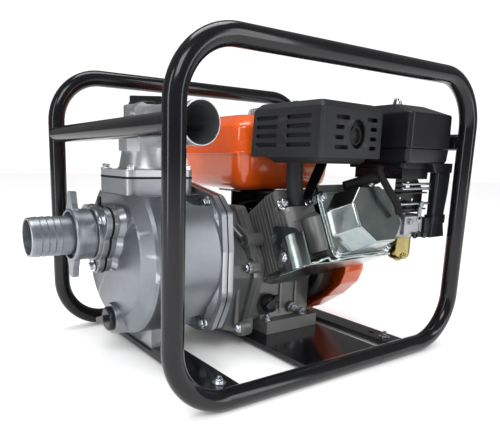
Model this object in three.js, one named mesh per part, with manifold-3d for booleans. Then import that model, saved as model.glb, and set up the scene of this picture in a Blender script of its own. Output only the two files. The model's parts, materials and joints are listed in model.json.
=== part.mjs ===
// A portable engine-driven water pump in a tubular carrying frame.
// Millimetres, +Z up. +X runs from the hose tail to the recoil starter, and -Y is the cylinder's side.
// Every piece is first placed in "machine" coordinates: X and Y measured from the frame's middle and
// Z from the underside of the tubes. The last lines move the origin under the middle of the whole object.

import * as THREE from 'three';
import { mergeVertices } from 'three/addons/utils/BufferGeometryUtils.js';
import Module from 'manifold-3d';

const wasm = await Module();
wasm.setup();

// ---------------------------------------------------------------- driving dimensions

const GAP = 0.3;                    // clearance between touching pieces

// frame
const TUBE_R = 12.7;                // one-inch steel tube
const LOOP_LENGTH = 522.5;          // centre line to centre line, along X
const LOOP_HEIGHT = 408.5;
const LOOP_SPACING = 381.9;         // between the two loops, along Y
const BEND_R = 74.6;
const CROSSBAR_Z = 327.8;
const WELD_X = 88;                  // butt weld that closes each loop
const PLATE_TOP = 12.7;
const PLATE_T = 4;

// shaft line
const CRANK_Y = 38;
const CRANK_Z = 120;

// pump, measured from the shaft line
const CASING_FRONT_X = -234;
const CASING_RIM_X = -221;
const CASING_FLANGE_X = -122;
const CASING_Z = 35;                // the drum's centre stands above the shaft
const CASING_R = 119;
const CASING_WALL = 6;
const BOX_TOP_Z = 145;              // joint under the discharge elbow
const SUCTION_Z = 67;
const HOSE_R = 27.5;                // two-inch hose tail, over its ridges
const HOSE_BORE_R = 23.5;
const HOSE_END_X = -353;
const DISCHARGE_X = -178;
const DISCHARGE_Z = 217;
const DISCHARGE_END_Y = -150;
const BACK_COVER_X = -103;          // pump's back cover meets the engine here

// engine, measured from the shaft line
const TILT = THREE.MathUtils.degToRad(25);   // the cylinder's rise above level
const CYL_X = 60;                   // cylinder's centre plane
const BORE_R = 34;
const CRANK_R = 22.5;
const ROD_LENGTH = 84;
const DECK_S = 127;                 // crank axis to head joint
const COVER_S = 201;                // crank axis to rocker cover joint
const CASE_X0 = -42;
const CASE_X1 = 112;
const FAN_X0 = 118;
const FAN_X1 = 170;
const CAM_DISTANCE = 54;            // crank axis to camshaft axis
const GEAR_MODULE = 2.25;
const PULLEY_R = 35;

// ---------------------------------------------------------------- materials

const finish = (color, roughness, metalness) => new THREE.MeshStandardMaterial({ color, roughness, metalness });
const castAluminium = finish(0xa9adb0, 0.5, 0.7);
const greyCasting = finish(0x4a4c4e, 0.55, 0.5);
const blackPaint = finish(0x121316, 0.15, 0.2);
const blackHeatPaint = finish(0x2c2d31, 0.5, 0.2);
const blackPlastic = finish(0x16171a, 0.35, 0);
const blackRubber = finish(0x101010, 0.8, 0);
const orangePaint = finish(0xe8500c, 0.2, 0.1);
const zincPlate = finish(0xa8b0a6, 0.25, 0.9);
const yellowZinc = finish(0xb59a4a, 0.3, 0.9);
const steel = finish(0x8b8f93, 0.35, 0.9);
const castIron = finish(0x55524e, 0.7, 0.6);
const redPlastic = finish(0xb01818, 0.4, 0);
const foam = finish(0x3a3a38, 0.9, 0);

// ---------------------------------------------------------------- shape helpers

const X = new THREE.Vector3(1, 0, 0);
const Y = new THREE.Vector3(0, 1, 0);
const Z = new THREE.Vector3(0, 0, 1);

// A box between two corners.
function block(x0, x1, y0, y1, z0, z1) {
  const g = new THREE.BoxGeometry(x1 - x0, y1 - y0, z1 - z0);
  return g.translate((x0 + x1) / 2, (y0 + y1) / 2, (z0 + z1) / 2);
}

// Moves a shape built along +Y so that it lies along an axis and starts at a point.
function along(geometry, axis, start) {
  if (axis === 'x') geometry.rotateZ(-Math.PI / 2);
  if (axis === 'z') geometry.rotateX(Math.PI / 2);
  return geometry.translate(...start);
}

// A solid of revolution: profile points are [radius, distance along the axis].
function turned(axis, profile, start, segments = 24) {
  const points = profile.map(([r, h]) => new THREE.Vector2(r, h));
  return along(new THREE.LatheGeometry(points, segments), axis, start);
}

// A plain rod of one radius.
function rod(axis, r, length, start, segments = 18) {
  return turned(axis, [[0, 0], [r, 0], [r, length], [0, length]], start, segments);
}

// A ring with a bore.
function ring(axis, r0, r1, length, start, segments = 24) {
  return turned(axis, [[r0, 0], [r1, 0], [r1, length], [r0, length], [r0, 0]], start, segments);
}

// A flat outline given thickness. The outline is (y, z) for x, (x, z) for y and (x, y) for z.
function slab(axis, outline, from, to) {
  const shape = Array.isArray(outline) ? new THREE.Shape(outline.map(([u, v]) => new THREE.Vector2(u, v))) : outline;
  const g = new THREE.ExtrudeGeometry(shape, { depth: to - from, bevelEnabled: false, curveSegments: 4 });
  const basis = new THREE.Matrix4();
  if (axis === 'x') basis.makeBasis(Y, Z, X).setPosition(from, 0, 0);
  if (axis === 'y') basis.makeBasis(X, Z, Y.clone().negate()).setPosition(0, to, 0);
  if (axis === 'z') basis.setPosition(0, 0, from);
  return g.applyMatrix4(basis);
}

// A rectangle with rounded corners, as an outline.
function roundedRectangle(u0, u1, v0, v1, r) {
  const s = new THREE.Shape();
  s.moveTo(u0 + r, v0);
  s.lineTo(u1 - r, v0);
  s.absarc(u1 - r, v0 + r, r, -Math.PI / 2, 0, false);
  s.lineTo(u1, v1 - r);
  s.absarc(u1 - r, v1 - r, r, 0, Math.PI / 2, false);
  s.lineTo(u0 + r, v1);
  s.absarc(u0 + r, v1 - r, r, Math.PI / 2, Math.PI, false);
  s.lineTo(u0, v0 + r);
  s.absarc(u0 + r, v0 + r, r, Math.PI, 1.5 * Math.PI, false);
  return s;
}

function toSolid(shape) {
  if (!shape.isBufferGeometry) return shape;
  const g = shape.clone();
  g.deleteAttribute('normal');
  g.deleteAttribute('uv');
  const merged = mergeVertices(g, 1e-4);
  const index = merged.index.array;
  const position = merged.attributes.position.array;
  const triVerts = [];
  for (let i = 0; i < index.length; i += 3) {
    const [a, b, c] = [index[i], index[i + 1], index[i + 2]];
    if (a !== b && b !== c && a !== c) triVerts.push(a, b, c);
  }
  return new wasm.Manifold(new wasm.Mesh({
    numProp: 3,
    vertProperties: new Float32Array(position),
    triVerts: new Uint32Array(triVerts),
  }));
}

function toGeometry(solid) {
  const mesh = solid.getMesh();
  const g = new THREE.BufferGeometry();
  g.setAttribute('position', new THREE.BufferAttribute(new Float32Array(mesh.vertProperties), 3));
  g.setIndex(new THREE.BufferAttribute(new Uint32Array(mesh.triVerts), 1));
  const flat = g.toNonIndexed();
  flat.computeVertexNormals();
  return flat;
}

const join = (first, ...rest) => rest.reduce((a, b) => a.add(toSolid(b)), toSolid(first));
const cut = (first, ...rest) => rest.reduce((a, b) => a.subtract(toSolid(b)), toSolid(first));
const common = (first, second) => toSolid(first).intersect(toSolid(second));

function add(group, name, shape, material, position = [0, 0, 0]) {
  const mesh = new THREE.Mesh(shape.isBufferGeometry ? shape : toGeometry(shape), material);
  mesh.name = name;
  mesh.position.set(...position);
  group.add(mesh);
  return mesh;
}

// A path through given points that keeps exactly those points, so straight runs take a single step.
class StationPath extends THREE.Curve {
  constructor(points, tangents) {
    super();
    this.points = points;
    this.tangents = tangents;
  }
  getPoint(t) {
    return this.points[Math.round(t * (this.points.length - 1))].clone();
  }
  getPointAt(u) {
    return this.getPoint(u);
  }
  getTangentAt(u) {
    return this.tangents[Math.round(u * (this.points.length - 1))].clone();
  }
}

function polygonShape(radius, sides) {
  const s = new THREE.Shape();
  const corner = radius / Math.cos(Math.PI / sides);
  for (let i = 0; i < sides; i += 1) {
    const a = ((i + 0.5) / sides) * 2 * Math.PI;
    if (i === 0) s.moveTo(corner * Math.cos(a), corner * Math.sin(a));
    else s.lineTo(corner * Math.cos(a), corner * Math.sin(a));
  }
  s.closePath();
  return s;
}

function bentTube(points, tangents, radius, sides) {
  const path = new StationPath(points, tangents);
  const options = { steps: points.length - 1, extrudePath: path, bevelEnabled: false };
  return new THREE.ExtrudeGeometry(polygonShape(radius, sides), options);
}

// A round cord or tube along a smooth curve through the given points.
function cordAlong(points, radius, sides, steps) {
  const curve = new THREE.CatmullRomCurve3(points.map((p) => new THREE.Vector3(...p)), false, 'centripetal');
  return new THREE.ExtrudeGeometry(polygonShape(radius, sides), { steps, extrudePath: curve, bevelEnabled: false });
}

// ---------------------------------------------------------------- frame

function loopTube(y) {
  const points = [];
  const tangents = [];
  const station = (x, z, tx, tz) => {
    points.push(new THREE.Vector3(x, y, z));
    tangents.push(new THREE.Vector3(tx, 0, tz));
  };
  const halfLength = LOOP_LENGTH / 2;
  const corners = [[1, TUBE_R + BEND_R], [1, TUBE_R + LOOP_HEIGHT - BEND_R],
    [-1, TUBE_R + LOOP_HEIGHT - BEND_R], [-1, TUBE_R + BEND_R]];
  const stepsPerBend = 6;
  station(WELD_X + GAP / 2, TUBE_R, 1, 0);
  corners.forEach(([side, z], i) => {
    const centreX = side * (halfLength - BEND_R);
    for (let k = 0; k <= stepsPerBend; k += 1) {
      const a = (i - 1 + k / stepsPerBend) * (Math.PI / 2);
      station(centreX + BEND_R * Math.cos(a), z + BEND_R * Math.sin(a), -Math.sin(a), Math.cos(a));
    }
  });
  station(WELD_X - GAP / 2, TUBE_R, 1, 0);
  return bentTube(points, tangents, TUBE_R, 12);
}

function crossbar(x) {
  const reach = LOOP_SPACING / 2;
  const cope = TUBE_R / Math.cos(Math.PI / 12) + GAP;
  const bar = rod('y', TUBE_R, 2 * reach - TUBE_R, [x, -reach + TUBE_R / 2, CROSSBAR_Z], 12);
  const ends = [-1, 1].map((side) => rod('z', cope, 120, [x, side * reach, CROSSBAR_Z - 60], 18));
  return cut(bar, ...ends);
}

function basePlate(x0, x1, holes) {
  const reach = LOOP_SPACING / 2 - TUBE_R - GAP;
  const plate = block(x0, x1, -reach, reach, PLATE_TOP - PLATE_T, PLATE_TOP);
  return cut(plate, ...holes.map(([x, y]) => rod('z', 5, 20, [x, y, 0], 10)));
}

function buildFrame() {
  const g = new THREE.Group();
  add(g, 'frame_loop_near', loopTube(-LOOP_SPACING / 2), blackPaint);
  add(g, 'frame_loop_far', loopTube(LOOP_SPACING / 2), blackPaint);
  add(g, 'crossbar_pump_end', crossbar(-LOOP_LENGTH / 2), blackPaint);
  add(g, 'crossbar_starter_end', crossbar(LOOP_LENGTH / 2), blackPaint);
  add(g, 'pump_base_plate', basePlate(-195, -148, [[-171.5, 12], [-171.5, 64]]), blackPaint);
  add(g, 'engine_base_plate', basePlate(-32, 118, [[9, -31], [86, -31], [9, 107], [86, 107]]), blackPaint);
  add(g, 'rear_base_plate', basePlate(147, 184, []), blackPaint);
  return g;
}

// ---------------------------------------------------------------- pump

const FLANGE_BOLTS = [[-78, 112], [78, 112], [78, -66], [-78, -66]];
const FLANGE_HALF = [[0, 141], [-94, 124], [-117, 102], [-123, 50], [-123, -22], [-98, -73], [-60, -83]];
const DRUM_TOP_Z = 123;             // the drum is flat on top, under the box's shoulders
const DRAIN_Y = -7;
const DRAIN_Z = -60;
const SUCTION_BOLT_R = 47;
const SUCTION_BOLT_ANGLES = [30, 150, 270].map(THREE.MathUtils.degToRad);

// Flange between round and square, for four bolts, as a slab normal to the shaft.
function casingFlange(x0, x1) {
  const thickness = x1 - x0;
  const otherHalf = FLANGE_HALF.slice(1).reverse().map(([y, z]) => [-y, z]);
  const plate = slab('x', [...FLANGE_HALF, ...otherHalf], x0, x1);
  const bores = FLANGE_BOLTS.map(([y, z]) => rod('x', 4.5, thickness + 10, [x0 - 5, y, z], 8));
  return cut(plate, ...bores);
}

// Three-lobed flange around the suction port.
function suctionLobes(x0, x1, boreR) {
  const thickness = x1 - x0;
  const disc = rod('x', 40, thickness, [x0, 0, SUCTION_Z], 22);
  const lobes = [];
  const bores = [rod('x', boreR, thickness + 10, [x0 - 5, 0, SUCTION_Z], 18)];
  for (const a of SUCTION_BOLT_ANGLES) {
    const y = SUCTION_BOLT_R * Math.cos(a);
    const z = SUCTION_Z + SUCTION_BOLT_R * Math.sin(a);
    lobes.push(rod('x', 10, thickness, [x0, y, z], 10));
    bores.push(rod('x', 3.5, thickness + 10, [x0 - 5, y, z], 8));
  }
  return cut(join(disc, ...lobes), ...bores);
}

function casing() {
  const drumLength = CASING_FLANGE_X - CASING_FRONT_X + 4;
  const rim = CASING_RIM_X - CASING_FRONT_X;
  const round = turned('x', [[0, 0], [90, 0], [CASING_R, rim], [CASING_R + 2, drumLength], [0, drumLength]],
    [CASING_FRONT_X, 0, CASING_Z], 28);
  const drum = cut(round, block(-245, -100, -130, 130, DRUM_TOP_Z, 200));
  const box = slab('z', roundedRectangle(-232, -125, -51, 51, 10), CASING_Z, BOX_TOP_Z);
  const boss = rod('x', 33, 26, [-250, 0, SUCTION_Z], 18);
  const foot = block(-190, -152, -40, 40, PLATE_TOP + GAP - CRANK_Z, -70);
  const drainBoss = rod('x', 23, 30, [-241, DRAIN_Y, DRAIN_Z], 14);
  const outside = join(drum, box, boss, foot, drainBoss, casingFlange(CASING_FLANGE_X, -113.8),
    suctionLobes(-250, -243, 24));
  const front = CASING_FRONT_X + CASING_WALL;
  const roundCavity = turned('x', [[0, 0], [84, 0], [CASING_R - CASING_WALL, rim], [CASING_R - CASING_WALL, 130],
    [0, 130]], [front, 0, CASING_Z], 28);
  const cavity = cut(roundCavity, block(-245, -90, -130, 130, DRUM_TOP_Z - CASING_WALL, 200));
  const boxCavity = slab('z', roundedRectangle(-225, -132, -44, 44, 5), CASING_Z, BOX_TOP_Z + 10);
  const port = rod('x', 24, 40, [-255, 0, SUCTION_Z], 18);
  const drain = rod('x', 8, 60, [-245, DRAIN_Y, DRAIN_Z], 10);
  const topBolts = ELBOW_BOLTS.map(([x, y]) => rod('z', 3, 30, [x, y, BOX_TOP_Z - 20], 8));
  const footBolts = [[-171.5, -26], [-171.5, 26]].map(([x, y]) => rod('z', 4.5, 20, [x, y, -110], 8));
  const aboveJoint = block(-245, -124.7, -130, 130, BOX_TOP_Z, 200);
  return cut(outside, cavity, boxCavity, port, drain, aboveJoint, ...topBolts, ...footBolts);
}

const ELBOW_BOLTS = [[-223, -43], [-134, -43], [-223, 43], [-134, 43]];

function elbowFlange(z0, z1, boreR) {
  const body = slab('z', roundedRectangle(-232, -125, -51, 51, 10), z0, z1);
  const bores = ELBOW_BOLTS.map(([x, y]) => rod('z', 3.5, z1 - z0 + 10, [x, y, z0 - 5], 8));
  return cut(body, rod('z', boreR, z1 - z0 + 10, [DISCHARGE_X, 0, z0 - 5], 18), ...bores);
}

function dischargeElbow() {
  const flangeZ = BOX_TOP_Z + 3.1;
  const neckZ = flangeZ + 9;
  const bendZ = DISCHARGE_Z - neckZ;
  const x = DISCHARGE_X;
  const flange = elbowFlange(flangeZ, neckZ, 33);
  const neck = turned('z', [[0, 0], [40, 0], [34, bendZ], [0, bendZ]], [x, 0, neckZ], 20);
  const bend = new THREE.SphereGeometry(34, 18, 12).translate(x, 0, DISCHARGE_Z);
  const branch = turned('y', [[0, 0], [25.7, 0], [28, 60], [29.5, -DISCHARGE_END_Y], [0, -DISCHARGE_END_Y]],
    [x, DISCHARGE_END_Y, DISCHARGE_Z], 20);
  const collar = turned('z', [[0, 0], [32, 8], [32, 30], [0, 30]], [x, 0, 217], 12);
  const boss = block(-221, -190, -26, 0, 183, 202);
  const outside = join(neck, bend, branch, collar, boss);
  const neckBore = turned('z', [[0, 0], [34, 0], [29, bendZ + 10], [0, bendZ + 10]], [x, 0, flangeZ - 1], 18);
  const bendBore = new THREE.SphereGeometry(29, 14, 8).translate(x, 0, DISCHARGE_Z);
  const branchBore = turned('y', [[0, 0], [22.7, 0], [24, 60], [26, 160], [0, 160]],
    [x, DISCHARGE_END_Y - 5, DISCHARGE_Z], 18);
  const primingBore = rod('z', 17.8, 60, [x, 0, 200], 14);
  return cut(join(flange, outside), neckBore, bendBore, branchBore, primingBore);
}

function primingCap() {
  const top = 247 + GAP;
  const stem = rod('z', 17, 14, [0, 0, -14], 14);
  const disc = rod('z', 25, 4, [0, 0, 0], 18);
  const bar = block(-21, 21, -4.5, 4.5, 3, 13);
  return { shape: join(stem, disc, bar), at: [DISCHARGE_X, 0, top] };
}

function couplingNut() {
  const body = ring('x', 32.4, 36.5, 16, [0, 0, 0], 20);
  const wings = [1, -1].map((side) => slab('x',
    [[-11, side * 33], [-6, side * 59], [6, side * 59], [11, side * 33]], 2, 12));
  return join(body, ...wings);
}

function hoseBarb() {
  const length = 66;
  const ridges = [0, 14, 28, 42].flatMap((h) => [[HOSE_R - 1.2, h], [HOSE_R, h + 11], [HOSE_R, h + 13]]);
  const outer = [[HOSE_BORE_R, 0], ...ridges, [HOSE_R - 1, 56], [HOSE_R - 1, length - 4], [31.5, length - 4]];
  return turned('x', [...outer, [31.5, length], [HOSE_BORE_R, length], [HOSE_BORE_R, 0]], [0, 0, 0], 24);
}

// Shrouded impeller with backward-curved vanes.
function impeller() {
  const hub = turned('x', [[10.4, 0], [18, 0], [22, 14], [58, 17], [58, 21], [10.4, 21], [10.4, 0]], [-150, 0, 0], 24);
  const vanes = [];
  for (let i = 0; i < 5; i += 1) {
    const outline = [];
    for (let k = 0; k <= 6; k += 1) outline.push([24 + 5.5 * k, i * 1.2566 + 0.16 * k + 0.012 * k * k]);
    const inner = outline.map(([r, a]) => [r * Math.cos(a), r * Math.sin(a)]);
    const outer = outline.map(([r, a]) => [r * Math.cos(a + 3 / r), r * Math.sin(a + 3 / r)]).reverse();
    vanes.push(slab('x', [...inner, ...outer], -147, -132));
  }
  return join(hub, ...vanes);
}

// Volute ring around the impeller, open at the top and at the suction eye.
function volute() {
  const shell = turned('x', [[28, 0], [76, 0], [76, 45.7], [66, 45.7], [66, 6], [28, 6], [28, 0]], [-158, 0, 0], 24);
  return cut(shell, block(-150, -118, 6, 56, 40, 90));
}

function backCover() {
  const plate = casingFlange(-112, BACK_COVER_X);
  const boss = rod('x', 30, 6, [-118, 0, 0], 14);
  return cut(join(plate, boss), rod('x', 16, 40, [-125, 0, 0], 14));
}

function buildPump() {
  const g = new THREE.Group();
  g.position.set(0, CRANK_Y, CRANK_Z);
  add(g, 'pump_casing', casing(), castAluminium);
  add(g, 'casing_gasket', cut(casingFlange(-113.5, -112.3), rod('x', 113, 20, [-120, 0, CASING_Z], 24)), blackRubber);
  add(g, 'back_cover', backCover(), castAluminium);
  add(g, 'volute', volute(), castIron);
  add(g, 'impeller', impeller(), castIron);
  add(g, 'shaft_seal', ring('x', 10.4, 15.2, 11, [-127, 0, 0], 14), blackRubber);
  add(g, 'discharge_gasket', elbowFlange(BOX_TOP_Z + GAP, BOX_TOP_Z + 2.8, 36), blackRubber);
  add(g, 'discharge_elbow', dischargeElbow(), castAluminium);
  const cap = primingCap();
  add(g, 'priming_cap', cap.shape, blackPlastic, cap.at);
  const tab = block(-252.7, -250.3, -5, 5, SUCTION_Z + 38, SUCTION_Z + 52);
  add(g, 'suction_gasket', join(suctionLobes(-252.7, -250.3, 27), tab), blackRubber);
  const neck = ring('x', 24, 31, 20, [-284, 0, SUCTION_Z], 20);
  const step = ring('x', 24, 36, 5, [-266, 0, SUCTION_Z], 20);
  add(g, 'suction_flange', join(suctionLobes(-261.5, -253, 24), neck, step), castAluminium);
  const flap = join(rod('x', 27, 4, [0, 0, -31], 18), block(0, 4, -8, 8, -12, 2));
  add(g, 'check_valve_flap', flap, blackRubber, [-227, 0, SUCTION_Z + 31]);
  add(g, 'coupling_nut', couplingNut(), castAluminium, [-297, 0, SUCTION_Z]);
  add(g, 'hose_tail', hoseBarb(), castAluminium, [HOSE_END_X, 0, SUCTION_Z]);
  const plug = join(rod('x', 18, 7, [-7.3, 0, 0], 14), rod('x', 7.5, 20, [-2, 0, 0], 10), block(-17, -6, -5, 5, -15, 15));
  add(g, 'drain_plug', plug, blackPlastic, [-241, DRAIN_Y, DRAIN_Z]);
  return g;
}

// ---------------------------------------------------------------- engine

// Outline of the side cover and of the crankcase flange behind it, in (y, z).
const CASE_OUTLINE = [[-54, 104], [-106, 24], [-106, 0], [-84, -70], [-84, -102], [84, -102],
  [92, -60], [92, 60], [62, 100]].reverse();
const CASE_INSIDE = [[-46, 94], [-95, 20], [-95, 0], [-75, -68], [-75, -92], [76, -92],
  [82, -56], [82, 56], [56, 91]].reverse();

function crankcase() {
  const flange = slab('x', CASE_OUTLINE, CASE_X0, CASE_X0 + 9);
  const body = slab('x', [[-56, 74], [-56, -90], [84, -90], [86, -50], [86, 55], [60, 82], [-30, 82]],
    CASE_X0 + 4, CASE_X1);
  const base = cut(block(1, CASE_X1, -80, 82, PLATE_TOP + GAP - CRANK_Z, -86),
    ...[[9, -69], [86, -69], [9, 69], [86, 69]].map(([x, y]) => rod('z', 4.5, 30, [x, y, -115], 8)));
  const barrel = inCylinder(rod('y', 44, 95, [CYL_X, -DECK_S, 0], 20));
  const fins = [68, 80, 92, 104, 116].map((s) => inCylinder(slab('y',
    [[-28, -44], [-28, 56], [-8, 68], [108, 68], [116, 56], [116, -44]], -s - 3, -s)));
  const topWall = inCylinder(block(CYL_X - 40, CYL_X + 40, -127, -60, -44, 44));
  const outside = join(flange, body, base, barrel, ...fins, topWall, oilHole(15, -7.5, 16));
  const cavity = join(slab('x', CASE_INSIDE, CASE_X0 - 5, CASE_X0 + 4), block(CASE_X0 - 2, 104, -48, 79, -82, 74));
  const bore = inCylinder(rod('y', BORE_R, 130, [CYL_X, -DECK_S - 10, 0], 24));
  const rearBearing = rod('x', 26.3, 9, [102, 0, 0], 20);
  const shaftHole = rod('x', 14, 30, [100, 0, 0], 14);
  const camHole = rod('x', 7.4, 6, [102, CAM_Y, CAM_Z], 12);
  const filler = oilHole(11, -20, 30);
  return cut(outside, cavity, bore, rearBearing, shaftHole, camHole, filler);
}

// The oil filler leans up and out of the crankcase front wall.
const OIL_AT = [14, -56, -62];
function oilHole(r, from, length) {
  const g = rod('y', r, length, [0, from, 0], 12).rotateX(-0.35);
  return g.translate(...OIL_AT);
}

// From cylinder coordinates (s runs along -y) to the engine's own.
function inCylinder(geometry) {
  return geometry.rotateX(-TILT);
}

const CAM_Y = CAM_DISTANCE * Math.SQRT1_2;
const CAM_Z = -CAM_DISTANCE * Math.SQRT1_2;

function sideCover() {
  const flange = slab('x', CASE_OUTLINE, -52, CASE_X0 - GAP);
  const dome = slab('x', CASE_OUTLINE.map(([y, z]) => [0.9 * y, 0.9 * z]), -86, -50);
  const nose = turned('x', [[0, 0], [66, 0], [84, 20], [0, 20]], [BACK_COVER_X + GAP, 0, 0], 20);
  const inside = slab('x', CASE_INSIDE.map(([y, z]) => [0.9 * y, 0.9 * z]), -78, -40);
  const bearingSeat = rod('x', 26.3, 16, [-92, 0, 0], 20);
  const shaftHole = rod('x', 14, 40, [-108, 0, 0], 14);
  const bearingBoss = ring('x', 26.3, 34, 8, [-84, 0, 0], 20);
  const camHole = rod('x', 7.4, 8, [-84, CAM_Y, CAM_Z], 12);
  return cut(join(cut(join(flange, dome, nose), inside), bearingBoss), bearingSeat, shaftHole, camHole);
}

function crankshaft() {
  const front = turned('x', [[0, 0], [8, 0], [10, 4], [10, 45], [12.5, 50], [12.5, 150], [15, 151], [15, 189], [0, 189]],
    [-160, 0, 0], 18);
  const rear = turned('x', [[0, 0], [20, 0], [20, 14], [12.5, 15], [12.5, 36], [10, 37.5], [10, 94], [0, 94]],
    [86, 0, 0], 18);
  const pinAt = [-CRANK_R * Math.cos(TILT), CRANK_R * Math.sin(TILT)];
  const pin = rod('x', 11, 40, [40, ...pinAt], 14);
  const webs = [[29, 44], [76, 91]].map(([x0, x1]) => crankWeb(x0, x1));
  return join(front, rear, pin, ...webs);
}

// Web with its counterweight opposite the crankpin.
function crankWeb(x0, x1) {
  const shape = new THREE.Shape();
  shape.absarc(0, 0, 42, Math.PI * 0.68, Math.PI * 1.32, false);
  shape.absarc(CRANK_R, 0, 17, -Math.PI / 2, Math.PI / 2, false);
  shape.closePath();
  const g = slab('x', shape, x0, x1);
  return g.rotateX(Math.PI - TILT);
}

// Spur gear outline with generous backlash.
function gear(teeth, x0, x1, boreR, phase) {
  const pitch = (GEAR_MODULE * teeth) / 2;
  const step = (2 * Math.PI) / teeth;
  const outline = [];
  const corner = (r, a) => outline.push([r * Math.cos(a), r * Math.sin(a)]);
  for (let i = 0; i < teeth; i += 1) {
    const a = i * step + phase;
    corner(pitch - 1.25 * GEAR_MODULE, a - 0.27 * step);
    corner(pitch + 0.8 * GEAR_MODULE, a - 0.09 * step);
    corner(pitch + 0.8 * GEAR_MODULE, a + 0.09 * step);
    corner(pitch - 1.25 * GEAR_MODULE, a + 0.27 * step);
  }
  return cut(slab('x', outline, x0, x1), rod('x', boreR, x1 - x0 + 4, [x0 - 2, 0, 0], 18));
}

function camshaft() {
  const shaft = rod('x', 7, 187, [-80, 0, 0], 12);
  const wheel = gear(32, -28, -20, 6, Math.PI / 32);
  const lobes = [[50, 0.4], [66, 2.2]].map(([x, a]) => {
    const s = new THREE.Shape();
    s.absarc(0, 0, 9, Math.PI / 2, 1.5 * Math.PI, false);
    s.absarc(7, 0, 4.5, -Math.PI / 2, Math.PI / 2, false);
    s.closePath();
    return slab('x', s, x, x + 9).rotateX(a);
  });
  return join(wheel, shaft, ...lobes);
}

function conRod() {
  const bigEnd = ring('x', 11.4, 18, 22, [-11, 0, 0], 18);
  const smallEnd = ring('x', 5.5, 8.5, 18, [-9, -ROD_LENGTH, 0], 14);
  const shank = block(-4, 4, -ROD_LENGTH + 7.5, -17, -6.5, 6.5);
  return join(bigEnd, smallEnd, shank);
}

// The skirt is short, so the small end clears it as the crankpin carries the rod round.
function piston() {
  const wrist = CRANK_R + ROD_LENGTH;
  const body = rod('y', 33.7, 20, [0, -wrist - 18, 0], 24);
  const hollow = rod('y', 30.3, 27, [0, -wrist - 12, 0], 24);
  const grooves = [-wrist - 15, -wrist - 11, -wrist - 7].map((y) => ring('y', 32, 36, 1.8, [0, y, 0], 24));
  const pins = [-1, 1].map((side) => rod('x', 8, 20, [side * 21 - 10, -wrist, 0], 12));
  const pinBosses = common(join(...pins), rod('y', 33, 60, [0, -wrist - 30, 0], 24));
  return join(cut(body, hollow, ...grooves), pinBosses);
}

function cylinderHead() {
  const s0 = -COVER_S;
  const s1 = -DECK_S - GAP;
  const core = join(block(8, 116, s0, s1, -42, 44), block(100, 132, s0, -156, -42, 44));
  const fins = [132, 144, 156, 168].map((s) => {
    const end = s > 150 ? 131 : 116;
    return slab('y', [[-28, -40], [-28, 56], [-8, 70], [end - 8, 70], [end, 56], [end, -40]], -s - 3, -s);
  });
  const plugBoss = rod('y', 12.5, 36, [...PLUG_AT], 14);
  const exhaustBoss = block(-24, 34, -176, -138, 20, 52);
  const flange = slab('y', roundedRectangle(8, 132, -48, 50, 12), s0, s0 + 7);
  const chamber = turned('y', [[0, 0], [20, 0], [32, 12], [32, 14], [0, 14]], [CYL_X, -DECK_S - 13, 0], 20);
  const rockerBox = slab('y', roundedRectangle(22, 118, -34, 36, 10), s0 - 5, s0 + 26);
  const exhaustPort = join(rod('z', 10, 60, [5, -157, 0], 12), rod('x', 10, 60, [0, -157, 8], 12));
  const intakePort = join(rod('x', 10, 60, [85, -157, 8], 12));
  const plugHole = rod('y', 6.9, 32, [PLUG_AT[0], PLUG_AT[1] - 2, PLUG_AT[2]], 10);
  const exhaustSeat = block(-32, 40, -177, -139, 52, 90);
  return cut(join(core, ...fins, exhaustBoss, flange, plugBoss), chamber, rockerBox, exhaustPort, intakePort, plugHole,
    exhaustSeat);
}

// Mouth of the spark plug hole, beside the rocker cover.
const PLUG_AT = [122, -200.5, 62];

function sparkPlug() {
  return turned('y', [[0, 0], [5, 0], [5, 12], [6.5, 13], [10, 14], [10, 24.5], [6.5, 25.2], [6.5, 50], [0, 50]],
    [PLUG_AT[0], PLUG_AT[1] - 25.5, PLUG_AT[2]], 12);
}

function rockerCover() {
  const s0 = -COVER_S - GAP;
  const flange = slab('y', roundedRectangle(8, 132, -48, 50, 12), s0 - 2.5, s0);
  const outer = taperedBox([15, 126, -42, 44], [39, 118, -32, 28], s0 - 39, s0 - 1);
  const inner = taperedBox([17, 124, -40, 42], [41, 116, -30, 26], s0 - 37, s0 + 4);
  return cut(join(flange, outer), inner);
}

// A box whose far face is smaller: both rectangles are [x0, x1, z0, z1] and it runs along y.
function taperedBox(wide, narrow, y0, y1) {
  const g = new THREE.BoxGeometry(1, 1, 1);
  const p = g.attributes.position;
  for (let i = 0; i < p.count; i += 1) {
    const r = p.getY(i) < 0 ? narrow : wide;
    p.setXYZ(i, p.getX(i) < 0 ? r[0] : r[1], p.getY(i) < 0 ? y0 : y1, p.getZ(i) < 0 ? r[2] : r[3]);
  }
  return g;
}

// Fan housing outline in (y, z): round behind and below, drawn out towards the cylinder.
function fanOutline(inset) {
  const s = new THREE.Shape();
  const r = 100 - inset;
  s.absarc(0, 0, r, THREE.MathUtils.degToRad(-105), THREE.MathUtils.degToRad(95), false);
  const corners = [[-70, 92], [-120, 66], [-133, 40], [-133, -4], [-125, -25], [-97, -53], [-50, -85]];
  corners.forEach(([y, z]) => {
    const length = Math.hypot(y, z);
    s.lineTo(y * (1 - inset / length), z * (1 - inset / length));
  });
  s.closePath();
  return s;
}

function fanHousing() {
  const outer = slab('x', fanOutline(0), FAN_X0, FAN_X1);
  const inner = slab('x', fanOutline(2.5), FAN_X0 - 5, FAN_X1 - 2.5);
  const lugs = [[65, 65], [65, -65], [-20, -89]].map(([y, z]) => rod('x', 7, 20, [CASE_X1 + GAP, y, z], 10));
  const switchBox = cut(block(FAN_X1 - 2, FAN_X1 + 8, -121, -103, 5, 35), block(FAN_X1 + 1.5, FAN_X1 + 10, -118, -106, 8, 32));
  const shell = cut(outer, inner, rod('x', 62, 20, [FAN_X1 - 10, 0, 0], 24));
  return join(shell, switchBox, ...lugs);
}

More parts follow.
